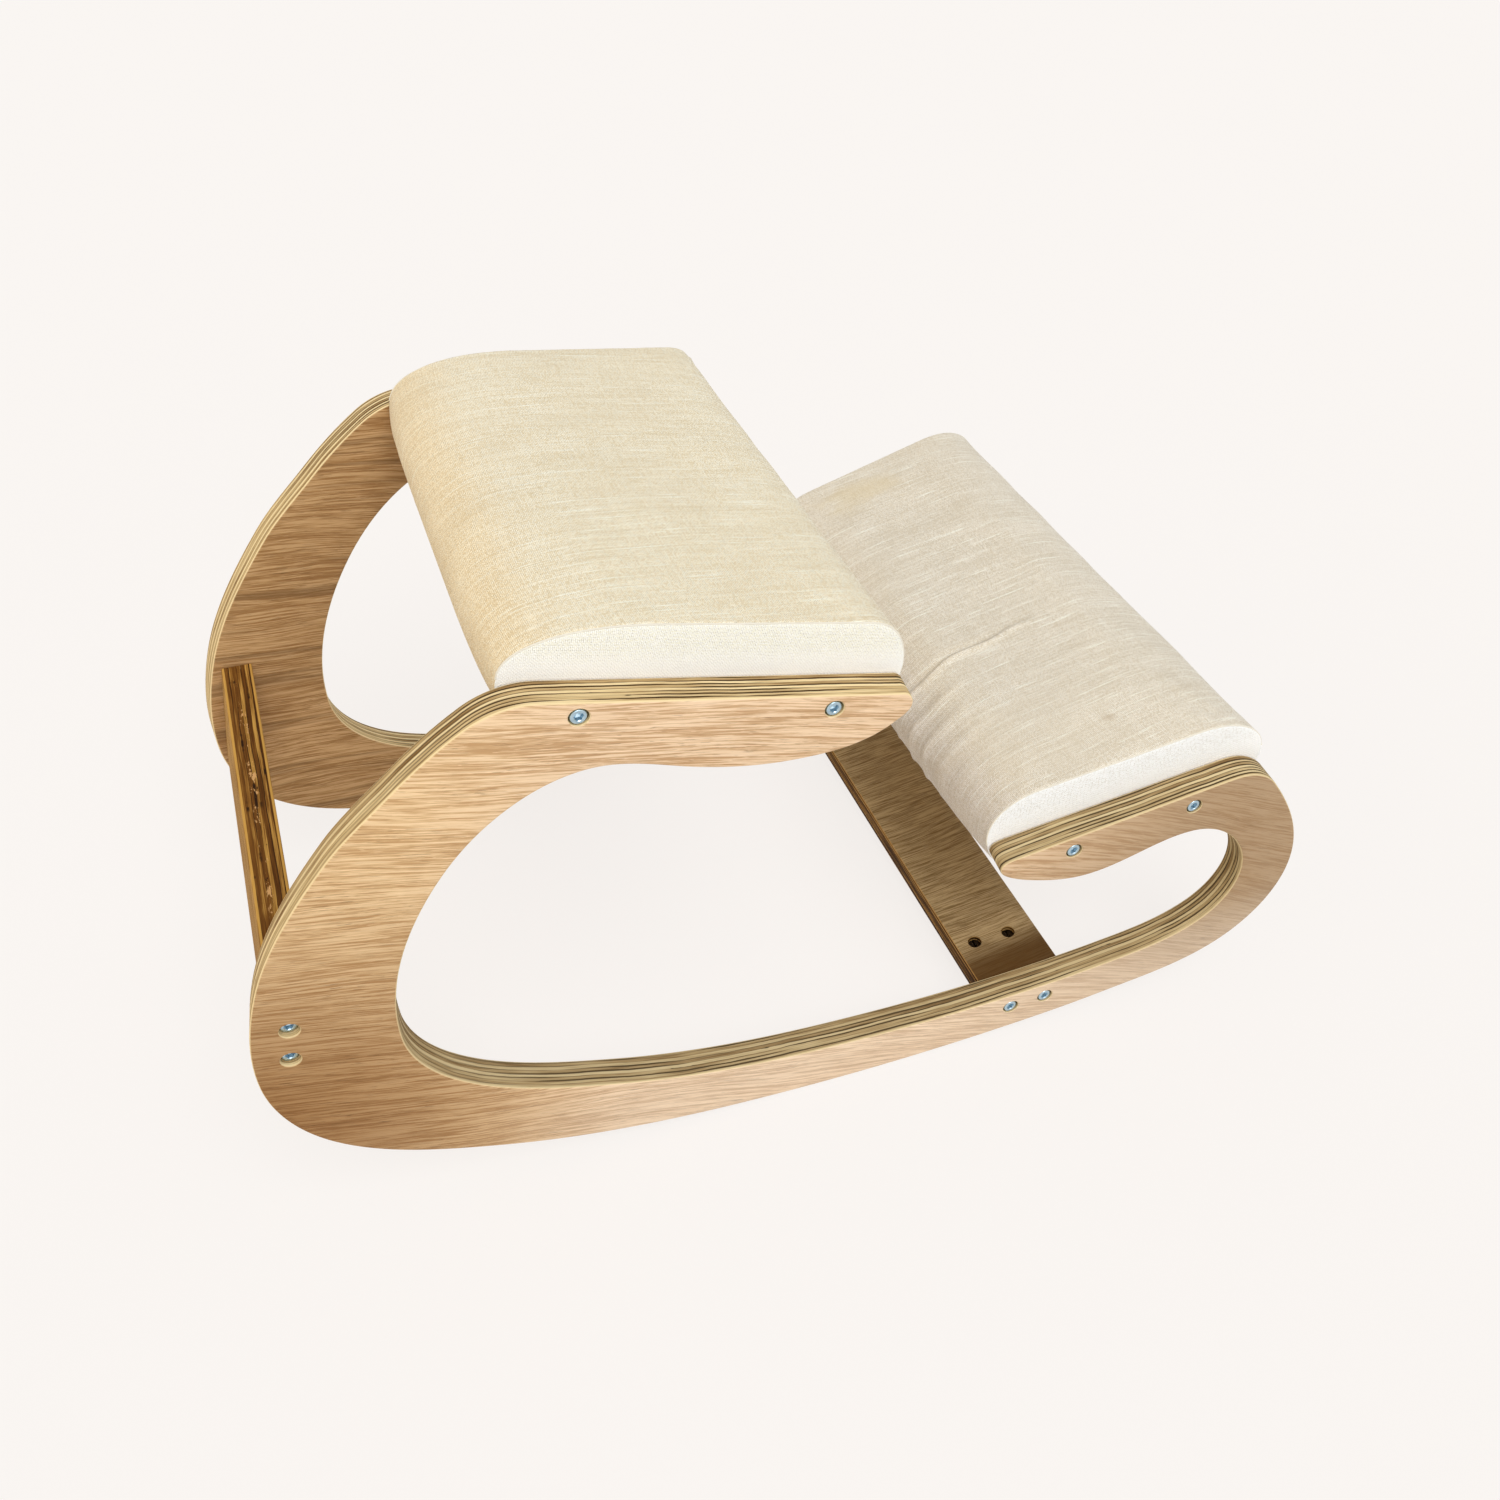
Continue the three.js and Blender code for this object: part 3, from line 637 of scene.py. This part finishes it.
# Barrel nuts. Short cross-drilled steel cylinders that lie in blind holes in the boards, each
# with a slot across its outer end for turning it into line with the screw.
blank = turned("barrel_nut", [(-nut_long / 2, nut_radius - 0.0006), (-nut_long / 2 + 0.0006, nut_radius),
                              (nut_long / 2 - 0.0006, nut_radius), (nut_long / 2, nut_radius - 0.0006)], 48,
               [Matrix.Identity(4)])
cross = turned("cross", [(-nut_radius * 2, shank + fit_gap), (nut_radius * 2, shank + fit_gap)], 32,
               [Matrix.Rotation(math.pi / 2, 4, "Y")])
slot_wide, slot_deep = 0.0013, 0.0016
slot_points = [(x, y, z) for x in (nut_long / 2 - slot_deep, nut_long / 2 + overrun)
               for y in (-slot_wide / 2, slot_wide / 2) for z in (-nut_radius * 2, nut_radius * 2)]
slot_cut = mesh_piece("slot", slot_points, [(0, 1, 3, 2), (4, 5, 7, 6), (0, 1, 5, 4), (2, 3, 7, 6), (0, 2, 6, 4),
                                            (1, 3, 7, 5)])
carve(blank, [cross, slot_cut])
smooth(blank, 25)
blank.data.materials.clear()
blank.data.materials.append(nut_zinc)
nut_mesh = blank.data
bpy.data.objects.remove(blank)

for screw in screws:
    for side_name, side in (("left", 1), ("right", -1)):
        label = f"{screw['group']}_{{}}_{screw['label']}_{side_name}"
        pose = screw_pose(screw, side)
        head = bpy.data.objects.new("zinc_" + label.format("screw"), cap_mesh)
        head.matrix_world = pose @ Matrix.Translation((fit_gap, 0, 0))
        inside = Vector((side * nut_place(screw), screw["along"], -ply / 2))
        nut = bpy.data.objects.new("zinc_" + label.format("nut"), nut_mesh)
        nut.matrix_world = (poses[screw["group"]] @ Matrix.Translation(inside)
                            @ Matrix.Rotation(-screw["nut_side"] * math.pi / 2, 4, "Y"))
        for piece, kind in ((head, "screw"), (nut, "nut")):
            scene.collection.objects.link(piece)
            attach(piece, "root")
            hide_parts(label.format(kind))

# Cushions. Firm foam over a board, in a linen cover drawn tight: one panel over the top and
# down both long sides, and a flat panel at each end, sewn on with a turned seam. The cloth is
# folded under the board.
pad_grid, end_rows = 0.0046, 10
cover_fold = 0.027
foam_inset = 0.0025
cover_gap = 0.0003
end_swell = 0.0025


def quarter_round(centre, reach, height, start, square=2.0, bends=24):
    """Points on a quarter of an ellipse, from start degrees to 90 further, squarer above 2."""
    points = []
    for k in range(bends + 1):
        angle = math.radians(start + 90 * k / bends)
        along, up = [math.copysign(abs(part) ** (2 / square), part) for part in (math.cos(angle), math.sin(angle))]
        points.append(Vector((centre + reach * along, height * up)))
    return points


def evenly(path, count):
    """count + 1 points spaced evenly along the path, each with its distance from the start."""
    lengths = [0.0]
    for a, b in zip(path, path[1:]):
        lengths.append(lengths[-1] + (b - a).length)
    spaced, at = [], 0
    for k in range(count + 1):
        target = lengths[-1] * k / count
        while at < len(path) - 2 and lengths[at + 1] < target:
            at += 1
        step = lengths[at + 1] - lengths[at]
        share = (target - lengths[at]) / step if step else 0
        spaced.append((path[at].lerp(path[at + 1], min(1, share)), target))
    return spaced


def pad_loop(size, fullness, count):
    """The pad's cross-section: over the top from rear to front, and back under the board."""
    inset = foam_inset * fullness
    front = size["front"] - size["swell"] * fullness + inset
    rear = size["rear"] + size["rear_swell"] * fullness
    high = size["rise"] + size["crown"] * fullness - inset
    low = ply + fit_gap + cloth
    front_reach = size["front_round"] - inset
    top = quarter_round(rear - size["rear_round"], size["rear_round"], high, 0, 2.15)
    top += quarter_round(front + front_reach, front_reach, high, 90, 2.1)
    under = quarter_round(rear - pad_tuck, pad_tuck, -low, 0, 2.7)
    under += quarter_round(front + pad_tuck, pad_tuck, -low, 90)
    for point in under:
        sag = max(0.0, 1 - ((point.x - rear + pad_tuck) / pad_tuck) ** 2)
        point.y -= size["slack"] * fullness * sag * min(1.0, -point.y / low)
    return evenly(top, count), evenly(under, count)


def reach_at(pose, y, z, clearance=0.0):
    """Half the room between the frames at a place in a pad's own frame."""
    return half_width((pose @ Vector((0, y, z))).y, ply + clearance)


def station_shares(widest, fine):
    """Places across the pad from -1 to 1, closer together over the fine span."""
    shares, at = [-1.0], -widest
    while at < widest:
        room = min(1.0, (widest - abs(at)) / 0.02)
        step = pad_grid * (0.45 + 0.55 * room)
        if fine and fine[0] < at < fine[1]:
            step = pad_grid * 0.38
        at += step
        shares.append(min(1.0, at / widest))
    if shares[-1] - shares[-2] < 0.3 * pad_grid / widest:
        shares.pop(-2)
    return shares


def cushion(name, group, size, fabrics, fine=None):
    """The sewn cover as one closed form, with its seams as two lists of vertex numbers."""
    pose = poses[group]
    count = round((size["rear"] - size["front"] + 2 * size["rise"]) / pad_grid)
    ring = 2 * count
    shares = station_shares(reach_at(pose, size["front"], 0), fine)
    points, weave, faces, panels = [], [], [], []
    for share in shares:
        top, under = pad_loop(size, 1 - abs(share) ** 5, count)
        over_top, below = top[-1][1], under[-1][1]
        for k, (place, along) in enumerate(top + under[count - 1:0:-1]):
            reach = share * reach_at(pose, place.x, place.y, fit_gap + cover_gap)
            points.append(Vector((reach, place.x, place.y)))
            if k > count:  # the panel's two edges meet under the board
                along = -along if along < below / 2 else over_top + below - along
            weave.append((reach, along))
    for i in range(len(shares) - 1):
        for k in range(ring):
            a, b = i * ring + k, i * ring + (k + 1) % ring
            faces.append((a, b, b + ring, a + ring))
            panels.append(0)
    for base in (0, (len(shares) - 1) * ring):
        rows = [[base + k for k in range(count + 1)]]
        bottom = [base + (ring - k) % ring for k in range(count + 1)]
        for r in range(1, end_rows):
            row = []
            for k in range(count + 1):
                if k in (0, count):
                    row.append(base + k)
                    continue
                place = points[base + k].lerp(points[bottom[k]], r / end_rows)
                reach = reach_at(pose, place.y, place.z, fit_gap + cover_gap)
                points.append(Vector((math.copysign(reach, place.x), place.y, place.z)))
                weave.append((0, 0))
                row.append(len(points) - 1)
            rows.append(row)
        rows.append(bottom)
        for upper, lower in zip(rows, rows[1:]):
            for k in range(count):
                corners = list(dict.fromkeys([upper[k], upper[k + 1], lower[k + 1], lower[k]]))
                if len(corners) > 2:
                    faces.append(tuple(corners))
                    panels.append(1)
    piece = mesh_piece(name, points, faces)
    mesh = piece.data
    for fabric in fabrics:
        mesh.materials.append(fabric)
    layer = mesh.uv_layers.new(name="weave")
    for face, panel in zip(mesh.polygons, panels):
        face.material_index = panel
        for loop in face.loop_indices:
            vertex = mesh.loops[loop].vertex_index
            place = points[vertex]
            layer.data[loop].uv = (place.y, place.z) if panel else weave[vertex]
    seams = [[base + k for k in range(count + 1)] for base in (0, (len(shares) - 1) * ring)]
    return piece, seams


def puff(piece, seams, most):
    """Cloth drawn tight over the foam: pressure swells it, the seams and the board hold it."""
    before = [vertex.co.copy() for vertex in piece.data.vertices]
    held = piece.vertex_groups.new(name="held")
    held.add([v.index for v in piece.data.vertices if v.co.z < -0.004], 1.0, "REPLACE")
    for seam in seams:
        held.add(seam, 1.0, "REPLACE")
    sim = piece.modifiers.new("cloth", "CLOTH")
    sim.settings.quality = 6
    sim.settings.mass = 0.25
    sim.settings.tension_stiffness = sim.settings.compression_stiffness = 25
    sim.settings.bending_stiffness = 2
    sim.settings.use_pressure = True
    sim.settings.uniform_pressure_force = 4
    sim.settings.vertex_group_mass = "held"
    sim.settings.effector_weights.gravity = 0
    sim.point_cache.frame_start, sim.point_cache.frame_end = 1, 20
    for step in range(1, 21):
        scene.frame_set(step)
    settle(piece)
    scene.frame_set(1)
    for vertex, start in zip(piece.data.vertices, before):
        move = vertex.co - start
        if move.length > most:
            vertex.co = start + move.normalized() * most
    piece.vertex_groups.clear()


def soften(piece):
    """One subdivision that keeps the seams' line."""
    finer = piece.modifiers.new("finer", "SUBSURF")
    finer.levels = finer.render_levels = 1
    settle(piece)


def dress(piece, group, size, creases):
    """Creases and slack in the cover, pushed along its normals, and its ends kept off the frames."""
    pose = poses[group]
    normals = [vertex.normal.copy() for vertex in piece.data.vertices]
    for vertex, normal in zip(piece.data.vertices, normals):
        x, y, z = vertex.co
        reach = reach_at(pose, y, z, fit_gap)
        from_seam = reach - abs(x)
        if z > -0.012 and from_seam > 0.0015:
            slack = 0.0009 * (noise.noise(Vector((x * 26, y * 17, z * 17 + 3))))
            pull = 0.0005 * math.exp(-from_seam / 0.012) * noise.noise(Vector((x * 3, y * 115, z * 115)))
            push = slack * min(1, from_seam / 0.02) + pull * min(1, from_seam / 0.003)
            for crease in creases:
                push += crease(x, y, z)
            vertex.co += normal * push
        limit = reach_at(pose, vertex.co.y, vertex.co.z, fit_gap)
        above = max(0.0, min(1.0, vertex.co.z / size["rise"]))
        limit += end_swell * math.sin(math.pi * above)
        vertex.co.x = max(-limit, min(limit, vertex.co.x))


def seam_cord(name, path, radius=0.00065, sides=8):
    """A turned seam's narrow roll along the path."""
    points, faces = [], []
    for i, place in enumerate(path):
        run = (path[min(i + 1, len(path) - 1)] - path[max(i - 1, 0)]).normalized()
        side = Vector((1, 0, 0)) - run * run.x
        side.normalize()
        up = run.cross(side)
        swell = radius * (1 + 0.18 * noise.noise(place * 160))
        for k in range(sides):
            angle = 2 * math.pi * k / sides
            points.append(place + (side * math.cos(angle) + up * math.sin(angle)) * swell)
    for i in range(len(path) - 1):
        for k in range(sides):
            a, b = i * sides + k, i * sides + (k + 1) % sides
            faces.append((a, b, b + sides, a + sides))
    faces.append(tuple(range(sides)))
    faces.append(tuple(range((len(path) - 1) * sides, len(path) * sides)))
    piece = mesh_piece(name, points, faces)
    smooth(piece, 60)
    return piece


def room_for(group, size):
    """The board's room and the opening under it, to cut from the cushion."""
    pose = poses[group]
    solids = []
    spans = (
        (size["front"] + pad_tuck - fit_gap, size["rear"] - pad_tuck + fit_gap, -ply - fit_gap, fit_gap, fit_gap + cloth),
        (size["front"] + cover_fold, size["rear"] - cover_fold, -ply - 0.008, -ply + 0.004, cover_fold),
    )
    for front, rear, low, high, clearance in spans:
        points = []
        for side in (-1, 1):
            for y in (front, rear):
                for z in (low, high):
                    points.append((side * reach_at(pose, y, z, clearance), y, z))
        faces = [(0, 1, 3, 2), (4, 5, 7, 6), (0, 1, 5, 4), (2, 3, 7, 6), (0, 2, 6, 4), (1, 3, 7, 5)]
        solids.append(mesh_piece("room", points, faces))
    return solids


def linen(name, light, mid, dark, seed, slubby=1.0, painted_glare=0.0, marks=(), rear=None):
    """Slubby plain weave. The pattern follows the cover's cut panels, in metres."""
    s = Shade(name)
    u, v, _ = s.split(s.node("UVMap", uv_map="weave").outputs[0])
    yarn = 0.00105
    drift = s.noise(s.join(s.math("MULTIPLY", u, 8), s.math("MULTIPLY", v, 13), seed), 1, 2)
    drift = s.math("MULTIPLY", s.math("SUBTRACT", drift, 0.5), 0.006)
    warp = s.math("DIVIDE", s.math("ADD", u, drift), yarn)
    weft = s.math("DIVIDE", s.math("ADD", v, drift), yarn)
    warp_no, weft_no = s.math("FLOOR", warp), s.math("FLOOR", weft)
    warp_tone = s.noise(s.join(s.math("MULTIPLY", warp_no, 3.7), s.math("MULTIPLY", v, 17), seed + 1), 1, 3, 0.65)
    weft_tone = s.noise(s.join(s.math("MULTIPLY", u, 30), s.math("MULTIPLY", weft_no, 3.7), seed + 2), 1, 3, 0.65)
    mottle = s.noise(s.join(s.math("MULTIPLY", u, 60), s.math("MULTIPLY", v, 22), seed + 3), 1, 4, 0.6)
    soil = s.noise(s.join(s.math("MULTIPLY", u, 9), s.math("MULTIPLY", v, 7), seed + 4), 1, 2)
    lint = s.noise(s.join(s.math("MULTIPLY", u, 620), s.math("MULTIPLY", v, 1000), seed + 5), 1, 3, 0.6)
    tone = s.math("ADD", s.math("MULTIPLY", warp_tone, 0.19 * slubby), s.math("MULTIPLY", weft_tone, 0.09))
    tone = s.math("ADD", tone, s.math("MULTIPLY", mottle, 0.07))
    tone = s.math("ADD", tone, s.math("MULTIPLY", lint, 0.65 + 0.19 * (1 - slubby)))
    colour = s.ramp(s.steps(tone, 0.43, 0.57), (0, dark), (0.5, mid), (1, light))
    slub = s.math("MULTIPLY", s.steps(warp_tone, 0.58, 0.72), 0.8 * slubby)
    cross_slub = s.math("MULTIPLY", s.steps(weft_tone, 0.68, 0.78), 0.5 * slubby)
    brightest = tuple(min(255, c + 10) for c in light)
    colour = s.blend(slub, colour, brightest)
    colour = s.blend(cross_slub, colour, light)
    over = s.math("MULTIPLY", s.math("SINE", s.math("MULTIPLY", warp, math.pi)),
                  s.math("SINE", s.math("MULTIPLY", weft, math.pi)))
    # painted glare: the end panel turns white towards its lower edge
    colour = s.blend(s.steps(v, 0.026, 0.0, 0.0, painted_glare), colour, (254, 255, 255))
    # painted shade in the gaps between the yarns
    pit = s.math("MULTIPLY", s.steps(s.math("ABSOLUTE", over), 0.42, 0.0), s.steps(lint, 0.46, 0.58, 0.10, 1.0))
    pit = s.math("MULTIPLY", pit, s.steps(v, 0.024, 0.004, 1.0, 1.0 - 0.8 * painted_glare))
    colour = s.blend(pit, colour, tuple(c * share for c, share in zip(dark, (0.74, 0.71, 0.64))))
    # painted shade and tint on the cover's rear side, fading out over the first 60 mm from its rear edge
    if rear is not None:
        colour = s.blend(s.steps(v, 0.060, 0.015), colour, rear, "MULTIPLY")
    colour = s.blend(s.math("MULTIPLY", s.steps(soil, 0.46, 0.70), 0.08), colour, tuple(c * 0.9 for c in dark))
    cell = s.node("TexVoronoi", {"Vector": s.join(u, v, seed), "Scale": 24.0})
    dot = s.math("MULTIPLY", s.steps(cell.outputs["Distance"], 0.024, 0.012),
                 s.steps(s.split(cell.outputs["Color"])[0], 0.80, 0.82))
    colour = s.blend(s.math("MULTIPLY", dot, 0.7), colour, (142, 112, 74))
    for mark_u, mark_v, wide, tall, strength, tint in marks:
        du = s.math("DIVIDE", s.math("SUBTRACT", u, mark_u), wide)
        dv = s.math("DIVIDE", s.math("SUBTRACT", v, mark_v), tall)
        far = s.math("SQRT", s.math("ADD", s.math("MULTIPLY", du, du), s.math("MULTIPLY", dv, dv)))
        far = s.math("ADD", far, s.math("MULTIPLY", s.math("SUBTRACT", mottle, 0.5), 1.6))
        colour = s.blend(s.math("MULTIPLY", s.steps(far, 1.0, 0.2), strength), colour, tint)
    height = s.math("ADD", s.math("MULTIPLY", over, 0.30), s.math("MULTIPLY", warp_tone, 0.8))
    height = s.math("ADD", height, s.math("MULTIPLY", weft_tone, 0.4))
    height = s.math("ADD", height, s.math("MULTIPLY", slub, 0.35))
    return s.finish(colour, 0.9, s.bump(height, 0.55, 0.0005), Specular_IOR_Level=0.2, Sheen_Weight=0.12,
                    Sheen_Roughness=0.5)


def knee_fold(x, y, z):
    """The fold across the knee rest's cover, and the slacker ones beside it."""
    push = 0.0
    for middle, slant, near, far, wide, high in (
        (-0.0590, -0.075, 0.044, 0.184, 0.0028, 0.0029),
        (-0.0535, -0.065, 0.070, 0.190, 0.0034, -0.0018),
        (-0.0800, -0.120, 0.120, 0.205, 0.0040, 0.0016),
        (-0.0980, -0.160, 0.130, 0.210, 0.0045, 0.0014),
        (-0.1180, -0.180, 0.130, 0.210, 0.0050, 0.0010),
        (-0.1420, -0.150, 0.150, 0.210, 0.0045, 0.0007),
    ):
        centre = middle + slant * (y - 0.10) + 0.0012 * math.sin(y * 120)
        along = (y - near) / (far - near)
        if 0 < along < 1:
            push += high * math.sin(math.pi * along) ** 0.8 * math.exp(-((x - centre) / wide) ** 2)
    return push


def front_gathers(x, y, z):
    """The small gathers at the seat's front corners, where the end seam turns down."""
    near_end = max(0.0, 1 - (seat_reach - abs(x)) / 0.016)
    ahead = max(0.0, min(1.0, (0.012 - y) / 0.010))
    return 0.0011 * near_end * ahead * math.sin(z * 2 * math.pi / 0.0085 + 0.8)


seat_linen = linen("seat_linen", (255, 250, 231), (250, 241, 216), (225, 210, 178), 1.7, rear=(252, 245, 234))
seat_end_linen = linen("seat_end_linen", (254, 255, 252), (252, 253, 247), (240, 238, 222), 2.9, slubby=0.2, painted_glare=0.9)
knee_linen = linen("knee_linen", (250, 245, 233), (240, 232, 216), (214, 203, 182), 6.2, rear=(238, 239, 248), marks=(
    (-0.1675, 0.139, 0.006, 0.009, 0.45, (180, 158, 126)),
    (0.165, 0.100, 0.030, 0.050, 0.35, (224, 204, 156)),
    (-0.150, 0.090, 0.060, 0.090, 0.30, (222, 211, 190)),
))
knee_end_linen = linen("knee_end_linen", (252, 254, 255), (250, 252, 253), (243, 245, 245), 7.4, slubby=0.2, painted_glare=0.9)
seam_linen = linen("seam_linen", (254, 252, 244), (252, 248, 236), (244, 236, 216), 3.8)
seat_reach = reach_at(poses["seat"], seat_size["front"], 0)
for group, size, fabrics, creases, fine in (
    ("seat", seat_size, (seat_linen, seat_end_linen), (front_gathers,), None),
    ("knee", knee_size, (knee_linen, knee_end_linen), (knee_fold,), (-0.135, -0.045)),
):
    piece, seams = cushion(f"linen_{group}_cushion", group, size, fabrics, fine)
    puff(piece, seams, 0.004)
    soften(piece)
    dress(piece, group, size, creases)
    seam_paths = [[piece.data.vertices[i].co.copy() for i in seam] for seam in seams]
    lines = [screw for screw in screws if screw["group"] == group]
    bore = [(-screw_reach - overrun, clearance_hole), (overrun, clearance_hole)]
    to_pad = poses[group].inverted()
    paths = turned("paths", bore, 24, [to_pad @ screw_pose(screw, side) for screw in lines for side in (-1, 1)])
    carve(piece, room_for(group, size) + [paths])
    pieces = [piece]
    for path, side_name in zip(seam_paths, ("right", "left")):
        cord = [Vector((place.x - math.copysign(0.0004, place.x), place.y, place.z)) for place in path]
        pieces.append(seam_cord(f"linen_{group}_seam_{side_name}", cord))
        pieces[-1].data.materials.append(seam_linen)
    for made in pieces:
        made.data.transform(poses[group])
        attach(made, "root")
    smooth(piece, 50)
    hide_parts(f"{group}_cover", f"{group}_foam")

# Studio. A pale floor that shows to the camera as the background does, soft daylight from the
# chair's right, and a pale room around.
backdrop_colour = (251, 247, 244)
floor = mesh_piece("floor", [(-6, -6, 0), (6, -6, 0), (6, 6, 0), (-6, 6, 0)], [(0, 1, 2, 3)])
s = Shade("studio_floor")
s.finish(s.ramp(s.noise(s.node("TexCoord").outputs["Object"], 2), (0, (236, 233, 229)), (1, (240, 237, 233))), 0.9)
glow = s.node("Emission", {"Color": linear(backdrop_colour), "Strength": 1.0})
seen = s.node("LightPath").outputs
direct = s.math("MAXIMUM", seen["Is Camera Ray"], s.math("MAXIMUM", seen["Is Glossy Ray"], seen["Is Transmission Ray"]))
mix = s.node("MixShader", {0: s.math("MULTIPLY", direct, 0.86)})
s.tree.links.new(s.surface.outputs[0], mix.inputs[1])
s.tree.links.new(glow.outputs[0], mix.inputs[2])
s.tree.links.new(mix.outputs[0], s.tree.nodes["Material Output"].inputs["Surface"])
floor.data.materials.append(s.material)

world = bpy.data.worlds.new("studio")
scene.world = world
world.use_nodes = True
tree = world.node_tree
sky = tree.nodes["Background"]
sky.inputs["Color"].default_value = (1.0, 0.985, 0.96, 1)
sky.inputs["Strength"].default_value = 0.44
backdrop = tree.nodes.new("ShaderNodeBackground")
backdrop.inputs["Color"].default_value = linear(backdrop_colour)
path = tree.nodes.new("ShaderNodeLightPath")
either = tree.nodes.new("ShaderNodeMath")
either.operation = "MAXIMUM"
tree.links.new(path.outputs["Is Camera Ray"], either.inputs[0])
tree.links.new(path.outputs["Is Glossy Ray"], either.inputs[1])
choice = tree.nodes.new("ShaderNodeMixShader")
tree.links.new(either.outputs[0], choice.inputs[0])
tree.links.new(sky.outputs[0], choice.inputs[1])
tree.links.new(backdrop.outputs[0], choice.inputs[2])
tree.links.new(choice.outputs[0], tree.nodes["World Output"].inputs["Surface"])


def lamp(kind, name, place, aim, energy, colour, **shape):
    light = bpy.data.lights.new(name, kind)
    light.energy, light.color = energy, colour
    for key, value in shape.items():
        setattr(light, key, value)
    made = bpy.data.objects.new(name, light)
    scene.collection.objects.link(made)
    made.location = place
    made.rotation_euler = (Vector(aim) - Vector(place)).to_track_quat("-Z", "Y").to_euler()


lamp("SUN", "daylight", (-1.2, -0.15, 1.9), (0, 0, 0), 1.80, (0.98, 0.99, 1.0), angle=math.radians(38))
lamp("SUN", "window", (-2.0, -0.3, 0.45), (0, 0, 0), 0.50, (0.97, 0.99, 1.0), angle=math.radians(60))
lamp("SUN", "warm_wall", (0.2, 1.9, 0.5), (0, 0, 0), 0.85, (1.0, 0.72, 0.34), angle=math.radians(70))

scene.view_settings.view_transform = "Standard"
